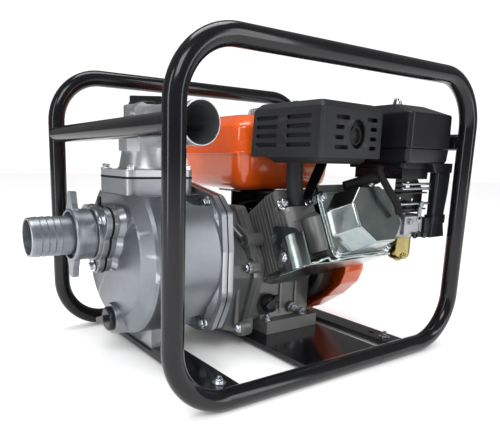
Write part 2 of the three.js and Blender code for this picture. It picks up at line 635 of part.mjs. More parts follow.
function flywheel() {
  const disc = turned('x', [[10.4, 0], [26, 0], [26, 8], [70, 12], [70, 0], [83, 0], [83, 24], [26, 24], [10.4, 24],
    [10.4, 0]], [124, 0, 0], 28);
  const blades = [];
  for (let i = 0; i < 12; i += 1) {
    blades.push(block(147, 160, -1.2, 1.2, 44, 80).rotateX((i * Math.PI) / 6));
  }
  const starterCup = turned('x', [[10.4, 0], [34, 0], [34, 30], [31, 30], [31, 3], [10.4, 3], [10.4, 0]],
    [147, 0, 0], 20);
  return join(disc, starterCup, ...blades);
}

function recoilCover() {
  const shell = turned('x', [[0, 0], [78, 0], [76, 24], [62, 35], [0, 35]], [FAN_X1 + GAP, 0, 0], 24);
  const hollow = turned('x', [[0, 0], [75, 0], [73, 26], [60, 32.5], [0, 32.5]], [FAN_X1, 0, 0], 24);
  const post = rod('x', 8, 20, [183, 0, 0], 14);
  const ropeHole = rod('y', 4, 40, [191, 55, PULLEY_R], 10);
  const vents = [];
  for (let i = 0; i < 8; i += 1) {
    vents.push(block(195, 215, -4, 4, 30, 54).rotateX((i * Math.PI) / 4 + 0.39));
  }
  return cut(join(cut(shell, hollow), post), ropeHole, ...vents);
}

function recoilPulley() {
  const profile = [[8.4, 0], [39, 0], [39, 3], [32.6, 4], [32.6, 10], [39, 11], [39, 14], [8.4, 14], [8.4, 0]];
  return turned('x', profile, [184, 0, 0], 24);
}

// Flat spiral spring between the pulley and the cover.
function recoilSpring() {
  const inner = [];
  const outer = [];
  const turns = 2.5;
  const steps = 50;
  for (let k = 0; k <= steps; k += 1) {
    const a = (k / steps) * turns * 2 * Math.PI;
    const r = 12 + (k / steps) * 16;
    inner.push([r * Math.cos(a), r * Math.sin(a)]);
    outer.push([(r + 1.4) * Math.cos(a), (r + 1.4) * Math.sin(a)]);
  }
  return slab('x', [...inner, ...outer.reverse()].reverse(), 198.4, 202);
}

function starterGrip() {
  const bar = slab('x', roundedRectangle(6, 22, -11, 11, 6), -15, 15);
  const neck = turned('y', [[0, 0], [7, 0], [9, 8], [0, 8]], [0, 0, 0], 12);
  return cut(join(bar, neck), rod('y', 2.3, 30, [0, -5, 0], 8));
}

// ---------------------------------------------------------------- exhaust

const GUARD_W = 138;
const GUARD_D = 136;
const GUARD_H = 67;
const GUARD_BEVEL = 9;

function muffleGuardShell(inset) {
  const top = GUARD_H + GUARD_BEVEL - inset;
  const b = GUARD_BEVEL + 0.5 * inset;
  const front = slab('x', [[inset, -5], [GUARD_D + (inset ? 20 : 0), -5], [GUARD_D - 14 + (inset ? 40 : 0), top],
    [b + 2, top], [inset, GUARD_H - 0.4 * inset]], inset, GUARD_W - inset);
  const side = slab('y', [[inset, -5], [GUARD_W - inset, -5], [GUARD_W - inset, GUARD_H - 0.4 * inset],
    [GUARD_W - b, top], [b, top], [inset, GUARD_H - 0.4 * inset]], -5, GUARD_D + 40);
  return common(front, side);
}

function muffler() {
  return slab('z', roundedRectangle(10, 128, 12, 112, 18), -8, 52);
}

function mufflerGuard() {
  const shell = cut(muffleGuardShell(0), muffleGuardShell(1.8), block(-10, GUARD_W + 10, -10, GUARD_D + 20, -20, 0));
  const slots = [];
  for (const z of [17, 29.5, 42, 54.5]) {
    for (const [y0, y1] of [[18, 62.5], [80, 123]]) slots.push(block(-5, 6, y0, y1, z - 3, z + 3));
  }
  [14.5, 27.5, 41, 54].forEach((z, i) => {
    const outer = i === 0 || i === 3;
    slots.push(block(28, outer ? 58 : 47, -5, 6, z - 3, z + 3));
    slots.push(block(i === 3 ? 98 : 107, 123, -5, 6, z - 3, z + 3));
  });
  const outlet = rod('y', 18.5, 12, [77, -5, 31], 18);
  return cut(shell, ...slots, outlet);
}

function exhaustPipe() {
  const flange = inCylinder(slab('z', roundedRectangle(-30, 38, -174, -142, 10), 52.3, 60));
  const pipe = rod('z', 12, 56, [5, -120, 114], 14);
  const bore = rod('z', 10, 80, [5, -120, 100], 12);
  const studs = [[-22, -158], [30, -158]].map(([x, y]) => inCylinder(rod('z', 6.5, 7, [x, y, 59], 6)));
  const under = inCylinder(block(-40, 50, -190, -120, 30, 52.3));
  return cut(join(flange, pipe, ...studs), bore, under);
}

// ---------------------------------------------------------------- fuel, air and controls

const TANK = { x0: -42, x1: 168, y0: -48, y1: 134, z0: 125, seam: 185, top: 246 };

function tankHalf(inset) {
  const t = TANK;
  const lower = taperedStack(t, [[t.z0 + inset, 22 + inset], [t.z0 + 12, 6 + inset], [t.seam - 2, 2 + inset]]);
  const upper = taperedStack(t, [[t.seam - 2, 2 + inset], [t.top - 16, 4 + inset], [t.top - inset, 26 + inset]]);
  return join(lower, upper);
}

// Stacked frusta of one rectangle: each level is [z, inset from the tank's outline].
function taperedStack(t, levels) {
  const parts = [];
  for (let i = 0; i + 1 < levels.length; i += 1) {
    const [z0, a] = levels[i];
    const [z1, b] = levels[i + 1];
    parts.push(cornered(t, a, z0, b, z1));
  }
  return join(...parts);
}

// Frustum between two rectangles with cut corners.
function cornered(t, a, z0, b, z1) {
  const ringAt = (inset, z) => {
    const c = 24;
    const [x0, x1, y0, y1] = [t.x0 + inset, t.x1 - inset, t.y0 + inset, t.y1 - inset];
    const flat = [[x0 + c, y0], [x1 - c, y0], [x1 - c / 3, y0 + c / 3], [x1, y0 + c], [x1, y1 - c], [x1 - c / 3, y1 - c / 3],
      [x1 - c, y1], [x0 + c, y1], [x0 + c / 3, y1 - c / 3], [x0, y1 - c], [x0, y0 + c], [x0 + c / 3, y0 + c / 3]];
    return flat.map(([x, y]) => [x, y, z]);
  };
  return loft([ringAt(a, z0), ringAt(b, z1)]);
}

// A closed body through rings of points, with flat ends.
function loft(rings) {
  const n = rings[0].length;
  const points = rings.flat();
  const index = [];
  for (let r = 0; r + 1 < rings.length; r += 1) {
    for (let i = 0; i < n; i += 1) {
      const j = (i + 1) % n;
      index.push(r * n + i, r * n + j, (r + 1) * n + j, r * n + i, (r + 1) * n + j, (r + 1) * n + i);
    }
  }
  const last = (rings.length - 1) * n;
  for (let i = 1; i + 1 < n; i += 1) index.push(0, i + 1, i, last, last + i, last + i + 1);
  const g = new THREE.BufferGeometry();
  g.setAttribute('position', new THREE.Float32BufferAttribute(points.flat(), 3));
  g.setIndex(index);
  return g;
}

const FILLER_AT = [66, 30];

function fuelTank() {
  const t = TANK;
  const neck = rod('z', 22, 6, [...FILLER_AT, t.top - 2], 18);
  const seam = slab('z', roundedRectangle(t.x0 - 1, t.x1 + 1, t.y0 - 1, t.y1 + 1, 16), t.seam - 1.5, t.seam + 1.5);
  const filler = rod('z', 19, 40, [...FILLER_AT, t.top - 20], 14);
  return cut(join(tankHalf(0), neck, seam), tankHalf(2.5), filler);
}

function fuelCap() {
  const skirt = rod('z', 26, 9, [0, 0, 0.3], 20);
  const crown = turned('z', [[0, 0], [26, 0], [18, 3.5], [0, 3.5]], [0, 0, 9], 20);
  const grips = [0, 1, 2].map((i) => block(20, 28, -5, 5, 1, 8).rotateZ((i * 2 * Math.PI) / 3));
  const plug = rod('z', 18, 8, [0, 0, -7], 14);
  return join(skirt, crown, ...grips, plug);
}

const CLEANER = { x0: 141, x1: 247, y0: -214, y1: -83, z0: 174, seam: 196, shoulder: 246, top: 262 };

function cleanerBase() {
  const c = CLEANER;
  const tray = cut(slab('z', roundedRectangle(c.x0, c.x1, c.y0, c.y1, 8), c.z0, c.seam),
    slab('z', roundedRectangle(c.x0 + 3, c.x1 - 3, c.y0 + 3, c.y1 - 3, 6), c.z0 + 4, c.seam + 5));
  const duct = loft([[[222, -211, 60], [256, -211, 60], [256, -199, 60], [222, -199, 60]],
    [[222, -212, 150], [258, -212, 150], [258, -198, 150], [222, -198, 150]],
    [[205, -213, 176], [258, -213, 176], [258, -190, 176], [205, -190, 176]]]);
  const elbow = block(206, 226, -209, -184, 58, 88);
  const passage = join(rod('z', 4, 150, [240, -205, 72], 10), rod('x', 4, 48, [195, -205, 75], 10));
  const stud = rod('z', 3, 95, [STUD_AT[0], STUD_AT[1], c.z0 + 2], 8);
  return join(cut(join(tray, duct, elbow), passage), stud);
}

const STUD_AT = [190, -150];

function cleanerCover() {
  const c = CLEANER;
  const side = slab('z', roundedRectangle(c.x0, c.x1, c.y0, c.y1, 8), c.seam + GAP, c.shoulder);
  const roof = loft([[[c.x0 + 1, c.y0 + 1, c.shoulder - 1], [c.x1 - 1, c.y0 + 1, c.shoulder - 1],
    [c.x1 - 1, c.y1 - 1, c.shoulder - 1], [c.x0 + 1, c.y1 - 1, c.shoulder - 1]],
  [[c.x0 + 14, c.y0 + 34, c.top], [c.x1 - 22, c.y0 + 34, c.top], [c.x1 - 22, c.y1 - 8, c.top], [c.x0 + 14, c.y1 - 8, c.top]]]);
  const inside = slab('z', roundedRectangle(c.x0 + 3, c.x1 - 3, c.y0 + 3, c.y1 - 3, 6), c.seam - 5, c.shoulder - 3);
  return cut(join(side, roof), inside, rod('z', 4, 60, [...STUD_AT, c.shoulder - 10], 10));
}

function wingNut() {
  const hub = turned('z', [[3.4, 0], [8, 0], [6, 7], [3.4, 7], [3.4, 0]], [0, 0, 0], 12);
  const wings = [1, -1].map((side) => slab('y',
    side > 0 ? [[5, 0], [9, 0], [15, 10], [11, 12], [5, 6]] : [[-5, 0], [-5, 6], [-11, 12], [-15, 10], [-9, 0]], -1.3, 1.3));
  return join(hub, ...wings);
}

function carburettor() {
  const bore = rod('x', 10, 90, [130, -186, 78], 14);
  const manifold = cut(block(132.4, 143, -204, -126, 58, 98), block(130, 139, -198, -131, 67, 89));
  const body = join(manifold, rod('x', 17, 50, [150, -186, 78], 18), block(142, 150, -206, -166, 58, 98),
    block(196, 204, -206, -172, 60, 96), block(160, 188, -208, -170, 58, 74), rod('z', 21, 8, [174, -188, 56], 18));
  return cut(body, bore);
}

function floatBowl() {
  return join(turned('z', [[0, 0], [11, 0], [17, 6], [17, 26], [0, 26]], [174, -188, 29.7], 18),
    rod('z', 5, 4, [174, -188, 26], 6));
}

function lever(length, width, thickness, hubR) {
  const arm = block(-width / 2, width / 2, 0, thickness, 0, length);
  return join(arm, rod('y', hubR, thickness, [0, 0, 0], 12), rod('y', hubR, thickness + 3, [0, -3, length], 10));
}

function buildEngine() {
  const g = new THREE.Group();
  g.position.set(0, CRANK_Y, CRANK_Z);
  add(g, 'crankcase', crankcase(), greyCasting);
  add(g, 'side_cover', sideCover(), greyCasting);
  add(g, 'crankshaft', crankshaft(), steel);
  add(g, 'crank_gear', gear(16, -28, -20, 12.8, 0), steel).rotation.x = -Math.PI / 4;
  const cam = add(g, 'camshaft', camshaft(), steel, [0, CAM_Y, CAM_Z]);
  cam.rotation.x = -Math.PI / 4;
  const bearing = (x, name) => add(g, name, ring('x', 12.9, 26, 14, [x, 0, 0], 20), steel);
  bearing(-90, 'front_bearing');
  add(g, 'rear_bearing', ring('x', 12.9, 26, 7, [102.3, 0, 0], 20), steel);
  const rod0 = add(g, 'connecting_rod', conRod(), steel,
    [CYL_X, -CRANK_R * Math.cos(TILT), CRANK_R * Math.sin(TILT)]);
  rod0.rotation.x = -TILT;
  const oil = add(g, 'oil_filler_plug', oilPlug(), blackPlastic, OIL_AT);
  oil.rotation.x = -0.35;

  const cylinder = new THREE.Group();
  cylinder.rotation.x = -TILT;
  g.add(cylinder);
  add(cylinder, 'piston', piston(), castAluminium, [CYL_X, 0, 0]);
  add(cylinder, 'cylinder_head', cylinderHead(), greyCasting);
  add(cylinder, 'rocker_cover', rockerCover(), zincPlate);
  add(cylinder, 'air_shroud', airShroud(), zincPlate);
  add(cylinder, 'spark_plug', sparkPlug(), steel);

  add(g, 'exhaust_pipe', exhaustPipe(), blackHeatPaint);
  const guard = new THREE.Group();
  guard.position.set(-23, -160 - CRANK_Y, 299 - CRANK_Z);
  guard.rotation.z = THREE.MathUtils.degToRad(5);
  g.add(guard);
  add(guard, 'muffler', muffler(), blackHeatPaint);
  add(guard, 'muffler_guard', mufflerGuard(), blackHeatPaint);

  add(g, 'fan_housing', fanHousing(), orangePaint);
  add(g, 'flywheel', flywheel(), castAluminium);
  add(g, 'recoil_cover', recoilCover(), orangePaint);
  add(g, 'recoil_pulley', recoilPulley(), blackPlastic);
  add(g, 'recoil_spring', recoilSpring(), steel);
  add(g, 'starter_rope', rod('y', 2, 86, [191, 4, PULLEY_R], 8), blackRubber);
  add(g, 'starter_grip', starterGrip(), blackPlastic, [191, 84, PULLEY_R]);

  add(g, 'fuel_tank', fuelTank(), orangePaint);
  add(g, 'fuel_cap', fuelCap(), castAluminium, [...FILLER_AT, TANK.top + 4]);
  const bracket = join(block(0, 100, 0, 56, 82.4, 85), block(0, 100, 26, 30, 84, 122), block(0, 100, 0, 70, 121, 124.6));
  add(g, 'tank_bracket', bracket, blackPaint);

  add(g, 'carburettor', carburettor(), castAluminium);
  add(g, 'float_bowl', floatBowl(), yellowZinc);
  add(g, 'choke_lever', lever(24, 8, 2.5, 5), zincPlate, [190, -209.5, 88]);
  add(g, 'fuel_valve_lever', lever(20, 7, 3, 5), blackPlastic, [181, -212, 64]).rotation.y = Math.PI / 2;
  add(g, 'air_cleaner_base', cleanerBase(), blackPlastic);
  add(g, 'air_cleaner_cover', cleanerCover(), blackPlastic);
  const element = cut(block(152, 236, -200, -97, 198, 234), block(168, 220, -184, -113, 190, 240));
  add(g, 'filter_element', element, foam);
  add(g, 'wing_nut', wingNut(), zincPlate, [...STUD_AT, CLEANER.top + GAP]);
  add(g, 'engine_switch', block(-5, 5, -5.5, 5.5, -9, 9), redPlastic, [FAN_X1 + 8.6, -112, 20]);
  add(g, 'throttle_bracket', join(block(122, 160, -106, -60, 106, 108), block(122, 160, -64, -60, 94, 108)), blackPaint);
  const throttle = join(rod('z', 8, 3, [0, 0, 0], 12), block(-3.5, 3.5, -46, 0, 0, 3), rod('z', 6, 9, [0, -46, 0], 10));
  add(g, 'throttle_lever', throttle, blackPlastic, [140, -84, 108.4]);
  return g;
}

function oilPlug() {
  return join(rod('y', 16, 8, [0, -16, 0], 14), rod('y', 10, 20, [0, -10, 0], 12), block(-16, 16, -22, -14, -4, 4));
}

// Sheet-metal air guide under the cylinder, with a flap up its pump side.
function airShroud() {
  const tray = join(block(-33, 116, -196, -96, -52, -50.4), block(100, 138, -196, -130, -52, -50.4));
  const flap = block(-33, -31.2, -150, -96, -52, 0);
  return join(tray, flap);
}

// ---------------------------------------------------------------- assembly

const machine = new THREE.Group();
machine.add(buildFrame(), buildPump(), buildEngine());
const left = HOSE_END_X;
const right = LOOP_LENGTH / 2 + TUBE_R;
machine.position.x = -(left + right) / 2;

const root = new THREE.Group();
root.add(machine);
root.updateMatrixWorld(true);
export default root;
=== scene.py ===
# Looks of the portable water pump. Shapes are drawn in millimetres in the machine's own places
# (frame, engine, cylinder, muffler guard) and turned into the row frame's metres by each place's matrix.
import json
import math

import bmesh
import bpy
from mathutils import Matrix, Vector


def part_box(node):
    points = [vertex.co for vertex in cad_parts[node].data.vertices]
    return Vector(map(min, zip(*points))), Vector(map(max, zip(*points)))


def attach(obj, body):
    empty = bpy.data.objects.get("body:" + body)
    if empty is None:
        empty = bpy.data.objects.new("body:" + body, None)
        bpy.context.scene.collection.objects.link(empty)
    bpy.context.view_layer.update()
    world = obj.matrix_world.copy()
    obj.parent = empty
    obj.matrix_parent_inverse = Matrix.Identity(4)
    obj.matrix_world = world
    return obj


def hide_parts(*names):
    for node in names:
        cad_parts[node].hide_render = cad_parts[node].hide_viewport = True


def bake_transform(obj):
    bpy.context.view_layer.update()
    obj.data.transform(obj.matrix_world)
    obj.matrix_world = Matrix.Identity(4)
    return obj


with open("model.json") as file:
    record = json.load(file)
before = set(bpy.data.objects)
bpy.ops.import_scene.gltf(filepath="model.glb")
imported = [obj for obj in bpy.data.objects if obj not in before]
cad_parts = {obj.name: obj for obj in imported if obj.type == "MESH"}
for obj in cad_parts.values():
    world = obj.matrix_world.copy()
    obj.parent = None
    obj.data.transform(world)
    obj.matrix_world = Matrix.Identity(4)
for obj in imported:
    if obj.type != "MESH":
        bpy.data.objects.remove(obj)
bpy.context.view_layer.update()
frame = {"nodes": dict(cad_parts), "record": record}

# ---------------------------------------------------------------- places

HOSE_END_X = -353.0
TILT = math.radians(25)
X_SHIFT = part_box("hose_tail")[0].x - HOSE_END_X / 1000

MACHINE = Matrix.Translation((X_SHIFT, 0, 0)) @ Matrix.Scale(0.001, 4)
ENGINE = MACHINE @ Matrix.Translation((0, 38, 120))
CYLINDER = ENGINE @ Matrix.Rotation(-TILT, 4, "X")
GUARD = ENGINE @ Matrix.Translation((-23, -198, 179)) @ Matrix.Rotation(math.radians(5), 4, "Z")

# ---------------------------------------------------------------- shapes


def axis_point(axis, h, u, v):
    """A point h along the axis, and u, v across it: (y, z) for x, (x, z) for y, (x, y) for z."""
    if axis == "x":
        return Vector((h, u, v))
    if axis == "y":
        return Vector((u, h, v))
    return Vector((u, v, h))


def from_rings(rings, closed=False):
    """A surface through rings of equally many points, capped at both ends unless it closes on itself."""
    bm = bmesh.new()
    rows = [[bm.verts.new(p) for p in ring] for ring in rings]
    pairs = list(zip(rows, rows[1:])) + ([(rows[-1], rows[0])] if closed else [])
    count = len(rows[0])
    for a, b in pairs:
        for i in range(count):
            j = (i + 1) % count
            bm.faces.new((a[i], a[j], b[j], b[i]))
    if not closed:
        bm.faces.new(list(reversed(rows[0])))
        bm.faces.new(rows[-1])
    bmesh.ops.remove_doubles(bm, verts=bm.verts, dist=1e-4)
    bmesh.ops.dissolve_degenerate(bm, edges=bm.edges, dist=1e-5)
    bmesh.ops.recalc_face_normals(bm, faces=bm.faces)
    return bm


def turned(axis, profile, at=(0, 0, 0), segments=72):
    """A solid of revolution from (radius, distance along the axis) pairs. A closed profile has a bore."""
    closed = profile[0] == profile[-1]
    points = profile[:-1] if closed else profile
    rings = []
    for r, h in points:
        ring = []
        for k in range(segments):
            a = 2 * math.pi * k / segments
            ring.append(axis_point(axis, h, r * math.cos(a), r * math.sin(a)) + Vector(at))
        rings.append(ring)
    return from_rings(rings, closed)


def rod(axis, r, length, at, segments=48):
    return turned(axis, [(0, 0), (r, 0), (r, length), (0, length)], at, segments)


def pipe(axis, r0, r1, length, at, segments=64):
    return turned(axis, [(r0, 0), (r1, 0), (r1, length), (r0, length), (r0, 0)], at, segments)


def rounded(points, radius, steps=7):
    """A closed outline with its corners rounded. A corner's third value, if given, is its own radius."""
    out = []
    count = len(points)
    for i in range(count):
        here = Vector(points[i][:2])
        r = points[i][2] if len(points[i]) > 2 else radius
        a = Vector(points[i - 1][:2]) - here
        b = Vector(points[(i + 1) % count][:2]) - here
        angle = a.angle(b, math.pi)
        if r <= 0 or angle > math.pi - 0.03:
            out.append(tuple(here))
            continue
        reach = min(r / math.tan(angle / 2), 0.49 * a.length, 0.49 * b.length)
        start = here + a.normalized() * reach
        end = here + b.normalized() * reach
        for k in range(steps + 1):
            t = k / steps
            p = start.lerp(here, t).lerp(here.lerp(end, t), t)
            out.append((p.x, p.y))
    return out


def box_outline(u0, u1, v0, v1, radius):
    return rounded([(u0, v0), (u1, v0), (u1, v1), (u0, v1)], radius)


def prism(axis, outline, start, end):
    """A flat outline given thickness."""
    return from_rings([[axis_point(axis, h, u, v) for u, v in outline] for h in (start, end)])


def block(x0, x1, y0, y1, z0, z1):
    return prism("z", [(x0, y0), (x1, y0), (x1, y1), (x0, y1)], z0, z1)


def stacked(axis, levels):
    """A solid through outlines at several distances along an axis: levels are (distance, outline)."""
    return from_rings([[axis_point(axis, h, u, v) for u, v in outline] for h, outline in levels])


def smooth_path(points, count):
    """Evenly chosen points on a Catmull-Rom curve through the given ones."""
    p = [Vector(q) for q in points]
    p = [2 * p[0] - p[1]] + p + [2 * p[-1] - p[-2]]
    out = []
    spans = len(p) - 3
    for k in range(count):
        s = min(k / (count - 1) * spans, spans - 1e-6)
        i = int(s)
        t = s - i
        a, b, c, d = p[i : i + 4]
        bend = 2 * a - 5 * b + 4 * c - d
        turn_in = 3 * b - a - 3 * c + d
        out.append(0.5 * (2 * b + (c - a) * t + bend * t * t + turn_in * t**3))
    return out


def tube(points, radius, sides=24, closed=False, flat=1.0):
    """A round tube through points. flat squeezes it across its first side direction."""
    points = [Vector(p) for p in points]
    count = len(points)
    rings = []
    side = None
    for i, p in enumerate(points):
        before = points[i - 1] if (closed or i) else p
        after = points[(i + 1) % count] if (closed or i + 1 < count) else p
        forward = (after - before).normalized()
        if side is None:
            side = forward.orthogonal().normalized()
        side = (side - forward * side.dot(forward)).normalized()
        up = forward.cross(side)
        ring = []
        for k in range(sides):
            a = 2 * math.pi * k / sides
            ring.append(p + radius * (flat * math.cos(a) * side + math.sin(a) * up))
        rings.append(ring)
    return from_rings(rings, closed)


def ball(r, at, squeeze=(1, 1, 1)):
    bm = bmesh.new()
    bmesh.ops.create_uvsphere(bm, u_segments=48, v_segments=32, radius=r)
    bmesh.ops.scale(bm, vec=squeeze, verts=bm.verts)
    bmesh.ops.translate(bm, vec=at, verts=bm.verts)
    return bm


def moved(shape, matrix):
    bmesh.ops.transform(shape, matrix=matrix, verts=shape.verts)
    return shape


def turn(shape, degrees, axis, centre=(0, 0, 0)):
    c = Matrix.Translation(centre)
    return moved(shape, c @ Matrix.Rotation(math.radians(degrees), 4, axis) @ c.inverted())


def join(shapes):
    out = bmesh.new()
    for shape in shapes:
        mesh = bpy.data.meshes.new("part")
        shape.to_mesh(mesh)
        out.from_mesh(mesh)
        bpy.data.meshes.remove(mesh)
        shape.free()
    return out


def scratch(shape):
    mesh = bpy.data.meshes.new("scratch")
    shape.to_mesh(mesh)
    shape.free()
    o = bpy.data.objects.new("scratch", mesh)
    bpy.context.scene.collection.objects.link(o)
    return o


def boolean(shape, tools, operation):
    """shape with each tool taken away from it, or joined to it."""
    target = scratch(shape)
    others = [scratch(t) for t in tools]
    for o in others:
        m = target.modifiers.new("boolean", "BOOLEAN")
        m.operation = operation
        m.object = o
        m.solver = "EXACT"
    graph = bpy.context.evaluated_depsgraph_get()
    mesh = bpy.data.meshes.new_from_object(target.evaluated_get(graph))
    out = bmesh.new()
    out.from_mesh(mesh)
    for o in [target, *others]:
        old = o.data
        bpy.data.objects.remove(o)
        bpy.data.meshes.remove(old)
    bpy.data.meshes.remove(mesh)
    return out


def cut(shape, *tools):
    return boolean(shape, tools, "DIFFERENCE")


def fuse(shape, *tools):
    return boolean(shape, tools, "UNION")


def applied(o, kind, **settings):
    """Replaces the object's mesh with the result of one modifier."""
    m = o.modifiers.new("shape", kind)
    for key, value in settings.items():
        setattr(m, key, value)
    graph = bpy.context.evaluated_depsgraph_get()
    old = o.data
    mesh = bpy.data.meshes.new_from_object(o.evaluated_get(graph))
    o.modifiers.clear()
    o.data = mesh
    bpy.data.meshes.remove(old)


def piece(name, shapes, place, finish, body="machine", replaces=(), bevel=0.6, steps=2, sharp=32,
          inside=None):
    """One visible object: its edges rounded, its flat and curved faces shaded true, its body and finish
    declared. inside is a second finish and a test that picks the faces that take it, such as the painted
    shade darkening a bore."""
    bm = join(shapes)
    if inside:
        for face in bm.faces:
            face.material_index = int(inside[1](face.calc_center_median()))
    if place is not None:
        bmesh.ops.transform(bm, matrix=place, verts=bm.verts)
    mesh = bpy.data.meshes.new(name)
    bm.to_mesh(mesh)
    bm.free()
    o = bpy.data.objects.new(name, mesh)
    bpy.context.scene.collection.objects.link(o)
    if bevel:
        applied(o, "BEVEL", width=bevel / 1000, segments=steps, limit_method="ANGLE",
                angle_limit=math.radians(sharp))
    o.data.shade_smooth()
    o.data.set_sharp_from_angle(angle=math.radians(40))
    applied(o, "WEIGHTED_NORMAL", keep_sharp=True, weight=80)
    o.data.materials.clear()
    o.data.materials.append(MATERIALS[finish])
    if inside:
        o.data.materials.append(MATERIALS[inside[0]])
    if body:
        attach(o, body)
    if replaces:
        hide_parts(*replaces)
    return o


def bolt(at, axis, across=10.0, head=5.5, washer=0.0, flange=0.0, stud=0.0):
    """Hexagon head with a shallow crown, and a washer, flange or stud end where asked."""
    r = across / math.sqrt(3)
    base = 1.4 if washer else 0.0
    shapes = []
    hexagon = [(r * math.cos(math.pi / 3 * k), r * math.sin(math.pi / 3 * k)) for k in range(6)]
    crown = [(0.8 * x, 0.8 * y) for x, y in hexagon]
    shapes.append(stacked("z", [(base, hexagon), (base + 0.86 * head, hexagon), (base + head, crown)]))
    if washer:
        shapes.append(turned("z", [(0, 0), (washer, 0), (washer, base), (0, base)], segments=32))
    if flange:
        shapes.append(turned("z", [(0, 0), (flange, 0), (flange, 1), (r, 2.4), (0, 2.4)], segments=32))
    if stud:
        top = base + head
        shapes.append(turned("z", [(0, 0), (stud, 0), (stud, top + 2.6), (0.8 * stud, top + 3.2), (0,
            top + 3.2)], segments=24))
    matrix = Matrix.Translation(at) @ Vector(axis).to_track_quat("Z", "Y").to_matrix().to_4x4()
    return moved(join(shapes), matrix)


# ---------------------------------------------------------------- finishes


def node(tree, kind, **values):
    n = tree.nodes.new(kind)
    for key, value in values.items():
        if key in n.inputs:
            n.inputs[key].default_value = value
        else:
            setattr(n, key, value)
    return n


def ramp(tree, source, stops):
    """A colour ramp over a value. Stops are (position, grey or colour)."""
    r = tree.nodes.new("ShaderNodeValToRGB")
    elements = r.color_ramp.elements
    while len(elements) < len(stops):
        elements.new(0.5)
    for e, (position, colour) in zip(elements, stops):
        e.position = position
        grey = isinstance(colour, (int, float))
        e.color = (colour, colour, colour, 1) if grey else (*colour, 1)
    tree.links.new(source, r.inputs[0])
    return r.outputs[0]


def surface(name, colour, dark, rough, metal=0.0, grain=900, grain_depth=0.05, blotch=14, wear=None, coat=0.0,
            speckle=0.0, streak=None, shine=0.5):
    """A procedural finish: the colour drifts between two in soft blotches, and roughness follows them.
    grain is a fine bump, wear lightens convex edges, speckle adds small pits, streak draws the grain out."""
    m = bpy.data.materials.new(name)
    m.use_nodes = True
    tree = m.node_tree
    link = tree.links.new
    shader = tree.nodes["Principled BSDF"]
    place = tree.nodes.new("ShaderNodeTexCoord").outputs["Object"]
    if streak:
        mapping = node(tree, "ShaderNodeMapping", Scale=streak)
        link(place, mapping.inputs[0])
        grain_place = mapping.outputs[0]
    else:
        grain_place = place
    big = node(tree, "ShaderNodeTexNoise", Scale=blotch, Detail=4.0, Roughness=0.6)
    link(place, big.inputs["Vector"])
    fine = node(tree, "ShaderNodeTexNoise", Scale=grain, Detail=3.0, Roughness=0.7)
    link(grain_place, fine.inputs["Vector"])
    base = ramp(tree, big.outputs[0], [(0.32, dark), (0.68, colour)])
    mix = node(tree, "ShaderNodeMix", data_type="RGBA", blend_type="MULTIPLY")
    mix.inputs[0].default_value = 0.35
    link(base, mix.inputs[6])
    link(ramp(tree, fine.outputs[0], [(0.3, 0.72), (0.7, 1.0)]), mix.inputs[7])
    tone = mix.outputs[2]
    if speckle:
        cells = node(tree, "ShaderNodeTexVoronoi", Scale=grain * 0.45)
        link(place, cells.inputs["Vector"])
        pits = node(tree, "ShaderNodeMix", data_type="RGBA", blend_type="MULTIPLY")
        pits.inputs[0].default_value = speckle
        link(tone, pits.inputs[6])
        link(ramp(tree, cells.outputs[0], [(0.05, 0.45), (0.35, 1.0)]), pits.inputs[7])
        tone = pits.outputs[2]
    if wear:
        edge = tree.nodes.new("ShaderNodeNewGeometry").outputs["Pointiness"]
        worn = node(tree, "ShaderNodeMix", data_type="RGBA")
        link(ramp(tree, edge, [(0.515, 0.0), (0.60, 0.85)]), worn.inputs[0])
        link(tone, worn.inputs[6])
        worn.inputs[7].default_value = (*wear, 1)
        tone = worn.outputs[2]
    link(tone, shader.inputs["Base Color"])
    shader.inputs["Metallic"].default_value = metal
    shader.inputs["Specular IOR Level"].default_value = shine
    if coat:
        shader.inputs["Coat Weight"].default_value = coat
        shader.inputs["Coat Roughness"].default_value = 0.06
    span = node(tree, "ShaderNodeMapRange")
    span.inputs["To Min"].default_value = rough[0]
    span.inputs["To Max"].default_value = rough[1]
    link(big.outputs[0], span.inputs["Value"])
    link(span.outputs[0], shader.inputs["Roughness"])
    bump = node(tree, "ShaderNodeBump", Strength=0.6, Distance=grain_depth / 1000)
    link(fine.outputs[0], bump.inputs["Height"])
    link(bump.outputs[0], shader.inputs["Normal"])
    return m


